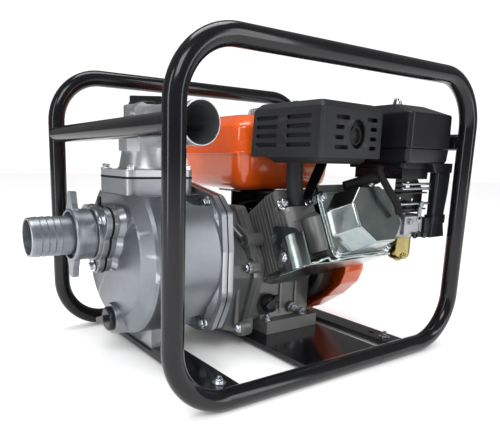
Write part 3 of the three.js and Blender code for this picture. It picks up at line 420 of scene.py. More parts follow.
MATERIALS = {"frame_paint": surface("black_enamel", (0.006, 0.006, 0.008), (0.004, 0.004, 0.005), (0.12,
    0.2), grain=160, grain_depth=0.03, coat=0.15, shine=0.25),
    "cast_aluminium": surface("sand_cast_aluminium", (0.26, 0.28, 0.305), (0.19, 0.205, 0.225), (0.28,
    0.42), metal=0.9, grain=1300, grain_depth=0.12, speckle=0.25, wear=(0.5, 0.51, 0.53)),
    "machined_aluminium": surface("machined_aluminium", (0.66, 0.67, 0.68), (0.55, 0.56, 0.57), (0.2, 0.33),
    metal=0.95, grain=500, grain_depth=0.03, wear=(0.8, 0.8, 0.82)), "grey_casting": surface("dark_casting",
    (0.15, 0.155, 0.155), (0.09, 0.093, 0.095), (0.36, 0.52), metal=0.65, grain=1500, grain_depth=0.1,
    speckle=0.2, wear=(0.36, 0.36, 0.35)), "heat_paint": surface("charcoal_heat_paint", (0.015, 0.016,
    0.0175), (0.011, 0.012, 0.013), (0.42, 0.55), grain=1800, grain_depth=0.03, wear=(0.035, 0.035, 0.038),
    shine=0.25), "orange_paint": surface("orange_enamel", (0.66, 0.088, 0.006), (0.58, 0.07, 0.004), (0.14,
    0.22), grain=180, grain_depth=0.03, coat=0.5), "black_plastic": surface("moulded_plastic", (0.009,
    0.0095, 0.012), (0.006, 0.006, 0.008), (0.24, 0.36), grain=2200, grain_depth=0.03, shine=0.3),
    "black_rubber": surface("rubber", (0.006, 0.006, 0.006), (0.004, 0.004, 0.004), (0.5, 0.7), grain=900,
    grain_depth=0.05, shine=0.2), "zinc_plate": surface("clear_zinc", (0.42, 0.46, 0.43), (0.30, 0.36,
    0.37), (0.15, 0.28), metal=1.0, grain=300, grain_depth=0.05, blotch=30),
    "yellow_zinc": surface("yellow_passivate", (0.42, 0.34, 0.12), (0.28, 0.24, 0.12), (0.14, 0.24),
    metal=1.0, grain=300, grain_depth=0.04, blotch=45), "bright_steel": surface("ground_steel", (0.55, 0.56,
    0.57), (0.45, 0.46, 0.47), (0.2, 0.34), metal=1.0, grain=700, grain_depth=0.04, streak=(0.05, 1, 1)),
    "bolt_steel": surface("bolt_zinc", (0.68, 0.70, 0.74), (0.52, 0.55, 0.62), (0.16, 0.3), metal=1.0,
    grain=600, grain_depth=0.03, blotch=60), "cast_iron": surface("cast_iron", (0.20, 0.19, 0.185), (0.14,
    0.13, 0.125), (0.5, 0.7), metal=0.7, grain=1100, grain_depth=0.15, speckle=0.3),
    "red_plastic": surface("red_plastic", (0.55, 0.02, 0.015), (0.5, 0.015, 0.01), (0.2, 0.3), grain=800,
    grain_depth=0.02), "foam": surface("oiled_foam", (0.06, 0.06, 0.055), (0.04, 0.04, 0.035), (0.8, 0.95),
    grain=900, grain_depth=0.4, speckle=0.7), "bore_painted_shade": surface("dark_bore_painted_shade", (0.014, 0.015, 0.017),
    # the bore finish above is painted shade: a near-black colour standing in for the shade inside the elbow
    # and hose tail bores
    (0.008, 0.008, 0.009), (0.5, 0.7), metal=0.4, grain=900, grain_depth=0.1, shine=0.2),
    "soot_and_painted_shade": surface("sooty_steel_and_painted_shade", (0.008, 0.008, 0.008), (0.005, 0.005, 0.005), (0.6, 0.8), grain=900,
    # the silencer finish above is soot, and its near-black colour is also painted shade for the inside of the
    # guard seen through its slots and tail pipe mouth
    grain_depth=0.08), }

# ---------------------------------------------------------------- camera, light, floor

CAMERA_AT = (-517.1, -641.0, 292.2)
CAMERA_AZIMUTH = 0.5869
CAMERA_DOWN = 0.1947
CAMERA_ROLL = 0.0209
LENS_MM = 36.19
SENSOR_MM = 36
LIT_WORLD = 1.12
REFLECTED_WORLD = 0.22


def make_camera():
    ahead = math.cos(CAMERA_DOWN)
    forward = Vector((math.sin(CAMERA_AZIMUTH) * ahead, math.cos(CAMERA_AZIMUTH) * ahead,
                      -math.sin(CAMERA_DOWN)))
    level = forward.cross(Vector((0, 0, 1))).normalized()
    above = level.cross(forward)
    right = math.cos(CAMERA_ROLL) * level + math.sin(CAMERA_ROLL) * above
    up = math.cos(CAMERA_ROLL) * above - math.sin(CAMERA_ROLL) * level
    data = bpy.data.cameras.new("camera")
    data.sensor_width = SENSOR_MM
    data.lens = LENS_MM
    data.shift_x = 0.0846
    data.shift_y = 0.0878
    o = bpy.data.objects.new("camera", data)
    turn_matrix = Matrix((right, up, -forward)).transposed().to_4x4()
    o.matrix_world = Matrix.Translation(MACHINE @ Vector(CAMERA_AT)) @ turn_matrix
    bpy.context.scene.collection.objects.link(o)
    bpy.context.scene.camera = o


def area_light(name, at, target, width, height, power):
    data = bpy.data.lights.new(name, "AREA")
    data.shape = "RECTANGLE"
    data.size = width
    data.size_y = height
    data.energy = power
    o = bpy.data.objects.new(name, data)
    o.location = at
    o.rotation_euler = (Vector(target) - Vector(at)).to_track_quat("-Z", "Y").to_euler()
    bpy.context.scene.collection.objects.link(o)


def make_studio():
    world = bpy.data.worlds.new("studio")
    world.use_nodes = True
    tree = world.node_tree
    tree.nodes["Background"].inputs[0].default_value = (1, 1, 1, 1)
    dimmed = node(tree, "ShaderNodeMapRange")
    dimmed.inputs["To Min"].default_value = LIT_WORLD
    dimmed.inputs["To Max"].default_value = REFLECTED_WORLD
    tree.links.new(tree.nodes.new("ShaderNodeLightPath").outputs["Is Glossy Ray"], dimmed.inputs["Value"])
    tree.links.new(dimmed.outputs[0], tree.nodes["Background"].inputs[1])
    bpy.context.scene.world = world
    area_light("key", (-1.3, -1.5, 1.9), (0, 0, 0.2), 1.0, 1.0, 26)
    area_light("strip_left", (-1.9, -0.3, 0.7), (0, 0, 0.2), 0.3, 1.8, 12)
    area_light("strip_right", (1.2, -1.9, 0.8), (0, 0, 0.2), 0.35, 1.6, 10)
    area_light("top", (0.1, 0.2, 2.2), (0, 0, 0.2), 1.4, 0.9, 22)
    bpy.context.scene.view_settings.view_transform = "Standard"
    floor = block(-9, 9, -9, 9, -0.02, -0.0005)
    mesh = bpy.data.meshes.new("floor")
    floor.to_mesh(mesh)
    o = bpy.data.objects.new("floor", mesh)
    mat = bpy.data.materials.new("pale_floor")
    mat.use_nodes = True
    mat.node_tree.nodes["Principled BSDF"].inputs["Base Color"].default_value = (0.96, 0.96, 0.96, 1)
    mat.node_tree.nodes["Principled BSDF"].inputs["Roughness"].default_value = 0.7
    mesh.materials.append(mat)
    bpy.context.scene.collection.objects.link(o)


make_camera()
make_studio()

# ---------------------------------------------------------------- carrying frame

TUBE_R = 12.7
LOOP_HALF = 261.25
LOOP_TOP = 421.2
LOOP_Y = 190.95
BEND_R = 74.6
CROSSBAR_Z = 327.8
WELD_X = 88.0
PLATE_TOP = 12.7


def loop_path(y):
    """Centre line of one loop: straight runs joined by quarter bends."""
    points = []
    middles = [(1, -1), (1, 1), (-1, 1), (-1, -1)]
    for quarter, (sx, sz) in enumerate(middles):
        cx = sx * (LOOP_HALF - BEND_R)
        cz = TUBE_R + BEND_R if sz < 0 else LOOP_TOP - BEND_R
        for k in range(17):
            a = (quarter - 1 + k / 16) * math.pi / 2
            points.append((cx + BEND_R * math.cos(a), y, cz + BEND_R * math.sin(a)))
        nx, nz = middles[(quarter + 1) % 4]
        end = points[-1]
        goal_x = nx * (LOOP_HALF - BEND_R) if quarter in (1, 3) else end[0]
        goal_z = end[2] if quarter in (1, 3) else (LOOP_TOP - BEND_R if nz > 0 else TUBE_R + BEND_R)
        for k in range(1, 12):
            t = k / 12
            points.append((end[0] + (goal_x - end[0]) * t, y, end[2] + (goal_z - end[2]) * t))
    return points


def bead(axis, radius, thick, at, seed):
    """A weld bead around a tube, with the ripples of a hand weld."""
    points = []
    for k in range(72):
        a = 2 * math.pi * k / 72
        ripple = 0.35 * math.sin(18 * a + seed)
        r = radius + 0.3 * ripple
        points.append(Vector(at) + axis_point(axis, ripple, r * math.cos(a), r * math.sin(a)))
    return tube(points, thick, sides=10, closed=True)


for side, label in ((-1, "near"), (1, "far")):
    y = side * LOOP_Y
    seam = bead("x", TUBE_R - 0.6, 1.0, (WELD_X, y, TUBE_R), side)
    piece(f"carrying_loop_{label}", [tube(loop_path(y), TUBE_R, sides=40, closed=True), seam], MACHINE,
          "frame_paint",
          replaces=[f"frame_loop_{label}"], bevel=0)
for x, label in ((-LOOP_HALF, "pump"), (LOOP_HALF, "starter")):
    reach = LOOP_Y
    bar = rod("y", TUBE_R, 2 * reach, (x, -reach, CROSSBAR_Z), 48)
    beads = [bead("y", TUBE_R - 0.9, 1.1, (x, s * (reach - TUBE_R + 1), CROSSBAR_Z), s) for s in (-1, 1)]
    piece(f"carrying_bar_{label}", [bar, *beads], MACHINE, "frame_paint",
          replaces=[f"crossbar_{label}_end"], bevel=0)


def base_plate(name, x0, x1, holes, replaced):
    """Flat cross member with turned-down long edges and weld beads where it meets the tubes."""
    reach = LOOP_Y - TUBE_R + 1.5
    sheet = prism("z", box_outline(x0, x1, -reach, reach, 3), PLATE_TOP - 4, PLATE_TOP)
    drilled = cut(sheet, *[rod("z", 5, 20, (x, y, 0), 24) for x, y in holes])
    lips = [block(x, x + 3, -reach + 14, reach - 14, 4.5, 10) for x in (x0 + 0.5, x1 - 3.5)]
    beads = []
    for s in (-1, 1):
        line = [(x0 + 4 + (x1 - x0 - 8) * k / 24, s * (reach - 1.2),
                 12.6 + 0.4 * math.sin(2.2 * k)) for k in range(25)]
        beads.append(tube(line, 1.7, sides=10))
    piece(name, [drilled, *lips, *beads], MACHINE, "frame_paint", replaces=[replaced], bevel=0.7)


base_plate("base_plate_pump", -195, -148, [(-171.5, 12), (-171.5, 64)], "pump_base_plate")
base_plate("base_plate_engine", -32, 118, [(9, -31), (86, -31), (9, 107), (86, 107)], "engine_base_plate")
base_plate("base_plate_rear", 147, 184, [(165, -120), (165, 120)], "rear_base_plate")
frame_bolts = []
for s in (-1, 1):
    for x, y in ((-169, 150), (165, 146)):
        frame_bolts.append(bolt((x, s * y, PLATE_TOP), (0, 0, 1), 10, 5, washer=9, stud=3))
piece("frame_bolts", frame_bolts, MACHINE, "bolt_steel", bevel=0.3, steps=1)

# ---------------------------------------------------------------- pump

CASING_Z = 35
SUCTION_Z = 67
OUTLET_X = -178
OUTLET_Z = 217
BOX_TOP = 145


FLANGE_HALF = [(0, 141), (-94, 124), (-117, 102), (-123, 50), (-123, -22), (-98, -73), (-60, -83)]
FLANGE_BOLTS = [(-78, 112), (78, 112), (78, -66), (-78, -66)]
DRUM_TOP_Z = 123
DRAIN_AT = (-241, -7, -60)


def casing_flange_outline(grow=0.0):
    """Flange between round and square, in (y, z)."""
    points = FLANGE_HALF + [(-y, z) for y, z in reversed(FLANGE_HALF[1:])]
    radii = [60, 14, 20, 70, 60, 18, 20]
    radii += radii[:0:-1]
    outline = []
    for (y, z), r in zip(points, radii):
        away = math.hypot(y, z - CASING_Z)
        k = (away + grow) / away
        outline.append((y * k, CASING_Z + (z - CASING_Z) * k, r))
    return rounded(outline, 20)


def lobed_outline(grow=0.0):
    """Three-lobed flange around the suction port, in (y, z)."""
    outline = []
    for k in range(180):
        a = 2 * math.pi * k / 180
        near = min(abs((math.degrees(a) - c + 180) % 360 - 180) for c in (30, 150, 270))
        lobe = max(0.0, math.cos(math.radians(min(near * 2.6, 90))))
        r = 40 + 17 * lobe + grow
        outline.append((r * math.cos(a), SUCTION_Z + r * math.sin(a)))
    return outline


def make_casing():
    profile = [(0, -234), (86, -234), (94, -233.4), (97, -231.5), (115, -221.5), (118.4, -217), (119, -212),
               (121, -118), (0, -118)]
    drum = turned("x", profile, (0, 0, CASING_Z), 160)
    over = block(-250, -100, -140, 140, DRUM_TOP_Z, 220)
    pockets = []
    for y, z in FLANGE_BOLTS:
        pockets.append(turned("x", [(0, -176), (4, -175), (15, -152), (16.5, -140), (16.5, -121), (0,
            -121)], (0, y, z), 48))
    drum = cut(drum, over, *pockets)
    tower = prism("z", box_outline(-232, -125, -51, 51, 14), 30, BOX_TOP)
    hollow = prism("z", box_outline(-224, -133, -43, 43, 8), 80, BOX_TOP + 5)
    tower = cut(tower, hollow)
    flange = prism("x", casing_flange_outline(), -122, -113.8)
    rim = cut(stacked("x", [(-129, casing_flange_outline(-17)), (-121, casing_flange_outline(-7))]), *[
        turned("x", [(0, -140), (15.5, -140), (15.5, -121), (0, -121)], (0, y, z), 48) for y,
        z in FLANGE_BOLTS])
    port = prism("x", lobed_outline(), -250, -243)
    neck = stacked("x", [(-244, lobed_outline(-3)), (-230, lobed_outline(4))])
    suction = [cut(shape, rod("x", 24, 60, (-260, 0, SUCTION_Z), 64)) for shape in (port, neck)]
    eye_dark = turned("x", [(0, 0), (24.2, 0), (24.2, 1), (0, 1)], (-231, 0, SUCTION_Z), 64)
    foot = block(-190, -152, -40, 40, -107, -70)
    rib = prism("y", [(-230, -40), (-206, -92), (-190, -104), (-186, -60)], -3, 3)
    drain = turned("x", [(0, 0), (22, 0), (23, 3), (26, 32), (0, 32)], DRAIN_AT, 64)
    piece("casing_body", [drum, tower, flange, rim, *suction, foot, rib, drain, eye_dark], ENGINE,
          "cast_aluminium",
          replaces=["pump_casing"], bevel=1.5, steps=3, sharp=20)
    piece("flange_gasket", [prism("x", casing_flange_outline(0.5), -113.6, -112.2)], ENGINE, "black_rubber",
          replaces=["casing_gasket"], bevel=0)
    cover = prism("x", casing_flange_outline(-0.5), -112, -103)
    hub = turned("x", [(0, 0), (96, 0), (92, 6), (0, 6)], (-103.5, 0, 10), 96)
    back = [cut(shape, rod("x", 16, 60, (-140, 0, 0), 48)) for shape in (cover, hub)]
    piece("casing_back_cover", back, ENGINE, "cast_aluminium",
          replaces=["back_cover"], bevel=1.2, steps=3)
    bolts = []
    for y, z in FLANGE_BOLTS:
        bolts.append(bolt((-122, y, z), (-1, 0, 0), 13, 7, flange=10.5))
        bolts.append(bolt((-103, y, z), (1, 0, 0), 13, 6, washer=10, stud=4))
    for x in (-223, -134):
        for y in (-43, 43):
            bolts.append(bolt((x, y, BOX_TOP + 12.1), (0, 0, 1), 10, 6, washer=8.5))
    for a in (30, 150, 270):
        y, z = 47 * math.cos(math.radians(a)), SUCTION_Z + 47 * math.sin(math.radians(a))
        bolts.append(bolt((-262, y, z), (-1, 0, 0), 10, 6, washer=8.5))
    for y in (-26, 26):
        bolts.append(bolt((-171.5, y * 1.9, -107), (0, 0, 1), 11, 6, washer=9))
    piece("pump_bolts", bolts, ENGINE, "bolt_steel", bevel=0.35, steps=1)


def make_outlet():
    flange_z = BOX_TOP + 3.1
    top = flange_z + 9
    gasket = prism("z", box_outline(-232.5, -124.5, -51.5, 51.5, 14), BOX_TOP + 0.3, BOX_TOP + 2.8)
    piece("outlet_gasket", [gasket], ENGINE, "black_rubber", replaces=["discharge_gasket"], bevel=0.4)
    flange = prism("z", box_outline(-232, -125, -51, 51, 14), flange_z, top)
    neck = turned("z", [(0, 0), (43, 0), (39.5, 4), (36, 22), (34.5, 62), (0, 62)], (OUTLET_X, 0, top), 96)
    bend = ball(34.3, (OUTLET_X, 0, OUTLET_Z))
    branch = turned("y", [(0, -1), (29.5, -1), (28.6, 70), (26.6, 136), (28.2, 141), (28.2, 149),
                          (27.4, 150), (0, 150)],
                    (0, 0, 0), 96)
    branch = moved(branch, Matrix.Translation((OUTLET_X, 0, OUTLET_Z)) @ Matrix.Rotation(math.pi, 4, "Z"))
    collar = turned("z", [(0, 0), (30, 2), (32, 10), (32, 30), (30.5, 31), (0, 31)], (OUTLET_X, 0, 216), 64)
    boss = block(-221, -190, -27, 0, 183, 202)
    step = block(-214, -176, -34, -12, 222, 240)
    lug = prism("y", rounded([(-219, 236), (-206, 248), (-176, 240), (-176, 224), (-206, 224)], 7), -41, -24)
    outside = fuse(flange, neck, bend, branch, collar, boss, step, lug)
    bore = turned("y", [(0, 0), (26.6, 0), (25.6, 12), (24, 90), (26, 160), (0, 160)], (0, 0, 0), 96)
    bore = moved(bore, Matrix.Translation((OUTLET_X, -152, OUTLET_Z)))
    shaft = turned("z", [(0, 0), (33, 0), (29, 60), (29, 72), (0, 72)], (OUTLET_X, 0, flange_z - 2), 96)
    priming = rod("z", 17.8, 60, (OUTLET_X, 0, 205), 64)
    body = cut(outside, bore, shaft, priming)
    # painted shade: faces inside the outlet bore take the near-black bore finish in place of the shade there
    def in_shaded_bore(p):
        return p.y < -20 and math.hypot(p.x - OUTLET_X, p.z - OUTLET_Z) < 26.5 and p.y > -149.5

    piece("outlet_elbow", [body], ENGINE, "cast_aluminium", replaces=["discharge_elbow"], bevel=1.2,
          steps=3, sharp=38,
          inside=("bore_painted_shade", in_shaded_bore))
    stem = rod("z", 17, 14, (0, 0, -14), 48)
    disc = turned("z", [(0, 0), (25, 0), (25, 3), (23.5, 4.5), (0, 5)], segments=64)
    bar = turn(prism("y", rounded([(-23, 3), (23, 3), (23, 13.6), (-23, 13.6)], 2), -4.5, 4.5), -33, "Z")
    piece("priming_plug", [stem, disc, bar], ENGINE @ Matrix.Translation((OUTLET_X, 0, 247.3)),
          "black_plastic",
          body="primer", replaces=["priming_cap"], bevel=0.8)


def make_suction():
    gasket = cut(join([prism("x", lobed_outline(0.8), -252.7, -250.3)]),
                 rod("x", 27, 20, (-260, 0, SUCTION_Z), 64))
    tab = prism("x", rounded([(-5, SUCTION_Z + 36), (5, SUCTION_Z + 36), (5, SUCTION_Z + 52), (-5,
        SUCTION_Z + 52)], 2), -252.7, -250.3)
    piece("suction_seal", [gasket, tab], ENGINE, "black_rubber", replaces=["suction_gasket"], bevel=0.3)
    plate = cut(join([prism("x", lobed_outline(), -261.5, -253)]), rod("x", 24, 40, (-270, 0, SUCTION_Z), 64))
    step = pipe("x", 24, 38, 5.5, (-266.5, 0, SUCTION_Z))
    neck = pipe("x", 24, 31, 21, (-284.5, 0, SUCTION_Z))
    threads = [pipe("x", 29, 31.9, 1.4, (-282 + 3.1 * k, 0, SUCTION_Z)) for k in range(5)]
    piece("suction_plate", [plate, step, neck, *threads], ENGINE, "cast_aluminium",
          replaces=["suction_flange"],
          bevel=1.1, steps=3)
    ring = turned("x", [(32.4, 0), (35, 0), (37, 2), (37, 9), (35.6, 12), (35.6, 27), (34.6, 28.4),
                        (32.4, 28.4),
                        (32.4, 0)], segments=96)
    wings = []
    for s in (-1, 1):
        fin = prism("x", rounded([(-15, s * 33), (-9, s * 44), (-5.6, s * 60), (5.6, s * 60), (9, s * 44),
            (15, s * 33)], 4), 1.5, 11)
        wings.append(fin)
    piece("hose_union", [ring, *wings], ENGINE @ Matrix.Translation((-297, 0, SUCTION_Z)), "cast_aluminium",
          body="union", replaces=["coupling_nut"], bevel=1.5, steps=3)
    profile = [(23.5, 0), (25.6, 0), (26.4, 0.8)]
    for start in (6, 15, 24, 33):
        profile += [(26.6, start), (27.3, start + 6), (27.3, start + 7), (26.7, start + 7.4)]
    profile += [(26.8, 48), (27.0, 60), (31.3, 62), (31.5, 63), (31.5, 66), (23.5, 66), (23.5, 0)]
    tail = turned("x", profile, segments=128)
    # painted shade: the hose tail's bore faces take the near-black bore finish in place of the shade inside
    # it
    piece("hose_barb", [tail], ENGINE @ Matrix.Translation((HOSE_END_X, 0, SUCTION_Z)), "cast_aluminium",
          replaces=["hose_tail"], bevel=0.35, sharp=50,
          inside=("bore_painted_shade", lambda p: math.hypot(p.y, p.z) < 23.6))
    disc = turned("x", [(0, -7.3), (15, -7.3), (18, -5), (18, -0.6), (16.5, -0.3), (0, -0.3)], segments=64)
    stem = rod("x", 7.5, 20, (-2, 0, 0), 32)
    wing = prism("x", rounded([(-5, -15), (5, -15), (5, 15), (-5, 15)], 3), -17, -6)
    piece("drain_screw", [disc, stem, turn(wing, 68, "X")], ENGINE @ Matrix.Translation(DRAIN_AT),
          "black_plastic", body="drain", replaces=["drain_plug"], bevel=0.8)


make_casing()
make_outlet()
make_suction()

# ---------------------------------------------------------------- engine block

CASE_OUTLINE = [(84, -102), (-84, -102), (-84, -70), (-106, 0), (-106, 24), (-54, 104), (62, 100), (92, 60),
                (92, -60)]
COVER_BOLTS = [(-33.3, 90), (-103, 16), (-84, -82), (8, -94), (74, -88), (82, 0), (72, 78)]


def scaled(outline, k, centre=(0, 0)):
    return [(centre[0] + k * (u - centre[0]), centre[1] + k * (v - centre[1])) for u, v in outline]


def make_block():
    outline = rounded(CASE_OUTLINE, 14)
    flange = prism("x", outline, -52, -42.3)
    dome = stacked("x", [(-86, scaled(outline, 0.80)), (-80, scaled(outline, 0.87)),
                         (-66, scaled(outline, 0.905)),
                         (-50, scaled(outline, 0.93))])
    nose = turned("x", [(0, -102.7), (64, -102.7), (68, -99), (80, -88), (84, -80), (0, -80)], segments=96)
    shapes = [flange, dome, nose]
    for y, z in COVER_BOLTS:
        shapes.append(turned("x", [(0, -62), (8.2, -62), (9.0, -60), (9.6, -44), (0, -44)], (0, y, z), 40))
    strut = tube([(-66, -36, 88), (-63, -58, 74), (-60, -84, 58)], 5.5, sides=20, flat=0.7)
    strut_low = tube([(-64, -90, 18), (-66, -84, -30), (-62, -78, -80)], 4.5, sides=20)
    pad = cut(rod("x", 10.5, 30, (-60, -89, 55), 40), rod("x", 4, 20, (-66, -89, 55), 32))
    web = prism("x", rounded([(-104, 30), (-92, 62), (-60, 80), (-50, 60), (-80, 20)], 8), -56, -44)
    shapes += [strut, strut_low, pad, web]
    piece("engine_side_cover", shapes, ENGINE, "grey_casting", replaces=["side_cover"], bevel=1.6, steps=3)
    gasket = prism("x", scaled(outline, 1.003), -42.4, -41.9)
    back = prism("x", outline, -42, -33)
    case = prism("x", rounded([(-56, 74), (-56, -90), (84, -90), (86, -50), (86, 55), (60, 82), (-30, 82)],
        12), -38, 112)
    base = block(1, 112, -80, 82, -107, -86)
    base = cut(base, *[rod("z", 4.5, 40, (x, y, -115), 24) for x,
                       y in ((9, -69), (86, -69), (9, 69), (86, 69))])
    step = stacked("z", [(-87, box_outline(3, 110, -60, 70, 6)), (-74, box_outline(6, 108, -56.5, 66, 6))])
    filler = turned("y", [(0, -7.6), (15, -7.6), (16, -5), (19, 10), (0, 10)], segments=48)
    filler = moved(filler, Matrix.Translation((14, -56, -62)) @ Matrix.Rotation(-0.35, 4, "X"))
    ribs = [block(x, x + 3.5, -59, -50, -88, 40) for x in (44, 78)]
    ribs.append(prism("x", rounded([(-60, -30), (-70, -90), (-40, -90), (-40, -30)], 3), -30, -26))
    pads = [rod("x", 8, 40, (-30, -68, 0.6), 32), rod("x", 7, 36, (-34, -50, -40), 32)]
    top = prism("z", box_outline(-36, 108, -28, 58, 8), 78, 84)
    drain = turned("y", [(0, -62), (9, -62), (10, -58), (11, -50), (0, -50)], (70, 0, -74), 40)
    # the barrel leans out of the front, with its cooling fins
    barrel = turned("y", [(0, -127), (44, -127), (44, -48), (0, -48)], (60, 0, 0), 96)
    fins = []
    for k in range(9):
        s = 64 + 7.3 * k
        outline_fin = rounded([(-28, -44), (-28, 58 + 1.6 * k, 12), (106, 68, 14), (116, 50, 8), (116,
            -44)], 5)
        fins.append(prism("y", outline_fin, -s - 2.1, -s))
    flare = stacked("y", [(-62, box_outline(12, 108, -46, 46, 16)), (-46, box_outline(8, 110, -52, 50, 14))])
    back_matrix = Matrix.Rotation(-TILT, 4, "X")
    cylinder_shapes = [moved(join([barrel, flare, *fins]), back_matrix)]
    piece("engine_block", [gasket, back, case, base, step, filler, *ribs, *pads, top, drain,
                           *cylinder_shapes], ENGINE,
          "grey_casting", replaces=["crankcase"], bevel=0.9, steps=2)
    plug = turned("y", [(0, -18), (9, -18), (15.6, -15), (16, -13), (16, -8.6), (15, -8), (10, -7.8),
                        (10, 10), (0, 10)],
                  segments=48)
    tab = prism("y", rounded([(-16, -4), (16, -4), (16, 4), (-16, 4)], 3.5), -22, -14)
    ear = prism("x", rounded([(-20, -2), (-11, -2), (-11, 12), (-20, 12)], 3), 8, 16)
    place = ENGINE @ Matrix.Translation((14, -56, -62)) @ Matrix.Rotation(-0.35, 4, "X")
    piece("oil_plug", [plug, turn(tab, -24, "Y"), ear], place, "black_plastic", body="dipstick",
          replaces=["oil_filler_plug"], bevel=0.9)
    bolts = [bolt((-62, y, z), (-1, 0, 0), 10, 6, flange=8.4) for y, z in COVER_BOLTS]
    bolts.append(bolt((-30, -68, 0.6), (-1, 0, 0), 8, 5, flange=6.5))
    bolts.append(bolt((70, -62, -74), (0, -1, 0), 12, 6, washer=9))
    for x, y in ((9, -69), (86, -69), (9, 69), (86, 69)):
        bolts.append(bolt((x, y, -86), (0, 0, 1), 11, 6, washer=8.6, stud=3.4))
    piece("engine_bolts", bolts, ENGINE, "bolt_steel", bevel=0.35, steps=1)


EXHAUST_FACE = Matrix.Translation((4, -124, 108)) @ Matrix.Rotation(math.radians(-34), 4, "X")


def eight_sided(x0, x1, z0, z1, c):
    return rounded([(x0 + c, z0), (x1 - c, z0), (x1, z0 + c), (x1, z1 - c), (x1 - c, z1), (x0 + c, z1),
                    (x0, z1 - c),
                    (x0, z0 + c)], 4, 4)


def make_head():
    core = prism("y", box_outline(8, 116, -42, 44, 10), -201, -127.3)
    side = prism("y", box_outline(96, 131, -40, 42, 8), -201, -156)
    fins = []
    for k in range(6):
        s = 132 + 7.3 * k
        end = 131 if s > 154 else 116
        outline_fin = rounded([(-28, -40), (-28, 72, 10), (end - 10, 74, 14), (end, 50, 8), (end, -40)], 5)
        fins.append(prism("y", outline_fin, -s - 2.1, -s))
    room = Matrix.Rotation(TILT, 4, "X") @ EXHAUST_FACE
    fins = [cut(fin, moved(block(-42, 46, -60, -2, -14, 70), room)) for fin in fins]
    core = cut(core, moved(block(-42, 46, -60, -2, -14, 70), room))
    boss = prism("z", box_outline(-24, 34, -172, -138, 12), 18, 40)
    port = turned("z", [(0, -34), (15, -34), (17, -28), (17, 16), (10, 24), (0, 24)], (10, -184, 0), 64)
    flange = prism("y", box_outline(8, 132, -48, 50, 14), -201, -193)
    plug_boss = turned("y", [(0, 0), (11, 0), (12.5, 3), (12.5, 36), (0, 36)], (122, -200.5, 62), 48)
    gasket = prism("y", box_outline(7.6, 132.4, -48.4, 50.4, 14), -201.2, -200.8)
    port_hole = rod("z", 10, 40, (5, -157, 20), 40)
    piece("engine_head", [core, side, *fins, cut(boss, port_hole), port, flange, plug_boss], CYLINDER,
          "grey_casting",
          replaces=["cylinder_head"], bevel=0.8, steps=2)
    piece("cover_gasket", [gasket], CYLINDER, "black_rubber", bevel=0)
    rim = prism("y", box_outline(8, 132, -48, 50, 14), -203.6, -201.3)
    lip = prism("y", box_outline(12, 128, -44, 46, 12), -205.4, -203)

    levels = [(-240, 36, 124, -38, 42, 23), (-238, 33.5, 125.5, -40, 43.5, 24),
              (-212, 19, 128, -43, 45.5, 26),
              (-208, 17, 128.5, -43.5, 45.8, 27), (-203, 15, 129, -44, 46, 27)]
    body = stacked("y", [(y, eight_sided(x0, x1, z0, z1, c)) for y, x0, x1, z0, z1, c in levels])
    piece("valve_cover", [rim, lip, body], CYLINDER, "zinc_plate", replaces=["rocker_cover"], bevel=1.6,
          steps=4, sharp=18)
    bolts = [bolt((x, -203.6, t), (0, -1, 0), 10, 7, flange=8.6) for x,
             t in ((17, -40), (123, -40), (17, 42), (123, 42))]
    piece("head_bolts", bolts, CYLINDER, "bolt_steel", bevel=0.3, steps=1)


def make_air_guide():
    """Bright plated sheet under the cylinder: a tray, and a flap with a pressed dish up its pump side."""
    tray = prism("z", rounded([(-33, -196), (138, -196), (138, -131), (116, -131), (116, -96), (-33, -96)],
        8), -52, -50.4)
    edge = tube([(-33, -196, -51.2), (40, -197, -52.2), (90, -195.6, -50.8), (138, -196, -51.2)], 1.1,
                sides=12)
    flap = prism("x", rounded([(-195, -51), (-134, -51), (-132, 2), (-146, 21), (-188, 4), (-195, -8)], 8),
                 -33, -31.6)
    fold = tube([(-32.2, -134, -50.6), (-32.2, -158, -51.3), (-32.2, -182, -50.6)], 2.4, sides=16)
    dish = turned("x", [(0, -35.2), (8.5, -35.2), (11, -34.4), (13.5, -32.4), (0, -31.9)], (0, -158.5, -23),
                  48)
    sheet = []
    for k in range(25):
        s = -150 - 50 * k / 24
        x = -33.4 - 5.5 * math.sin(math.pi * min(1, k / 17)) ** 2
        rim = -51 + 49 * math.sin(math.pi * (0.32 + 0.3 * k / 24))
        sheet.append([Vector(p) for p in ((x, s, -51), (x, s, rim), (x + 1.3, s, rim), (x + 1.3, s, -51))])
    fold_sheet = from_rings(sheet)
    crumple = [(-34, -186, -51), (-20, -199, -50), (0, -201, -46), (8, -199, -51), (24, -202, -50),
               (52, -200, -48.5),
               (88, -202, -50.5), (112, -200, -48), (136, -198, -50)]
    lip = tube(smooth_path(crumple, 60), 2.1, sides=12, flat=0.5)
    cap = bolt((-40.3, -158.5, -30), (-1, 0, 0), 9, 5, flange=7)
    piece("air_guide", [tray, edge, flap, fold, dish, lip, fold_sheet], CYLINDER, "zinc_plate",
          replaces=["air_shroud"], bevel=0.5,
          steps=2)
    piece("air_guide_bolt", [cap], CYLINDER, "bolt_steel", bevel=0.3, steps=1)


# ---------------------------------------------------------------- exhaust


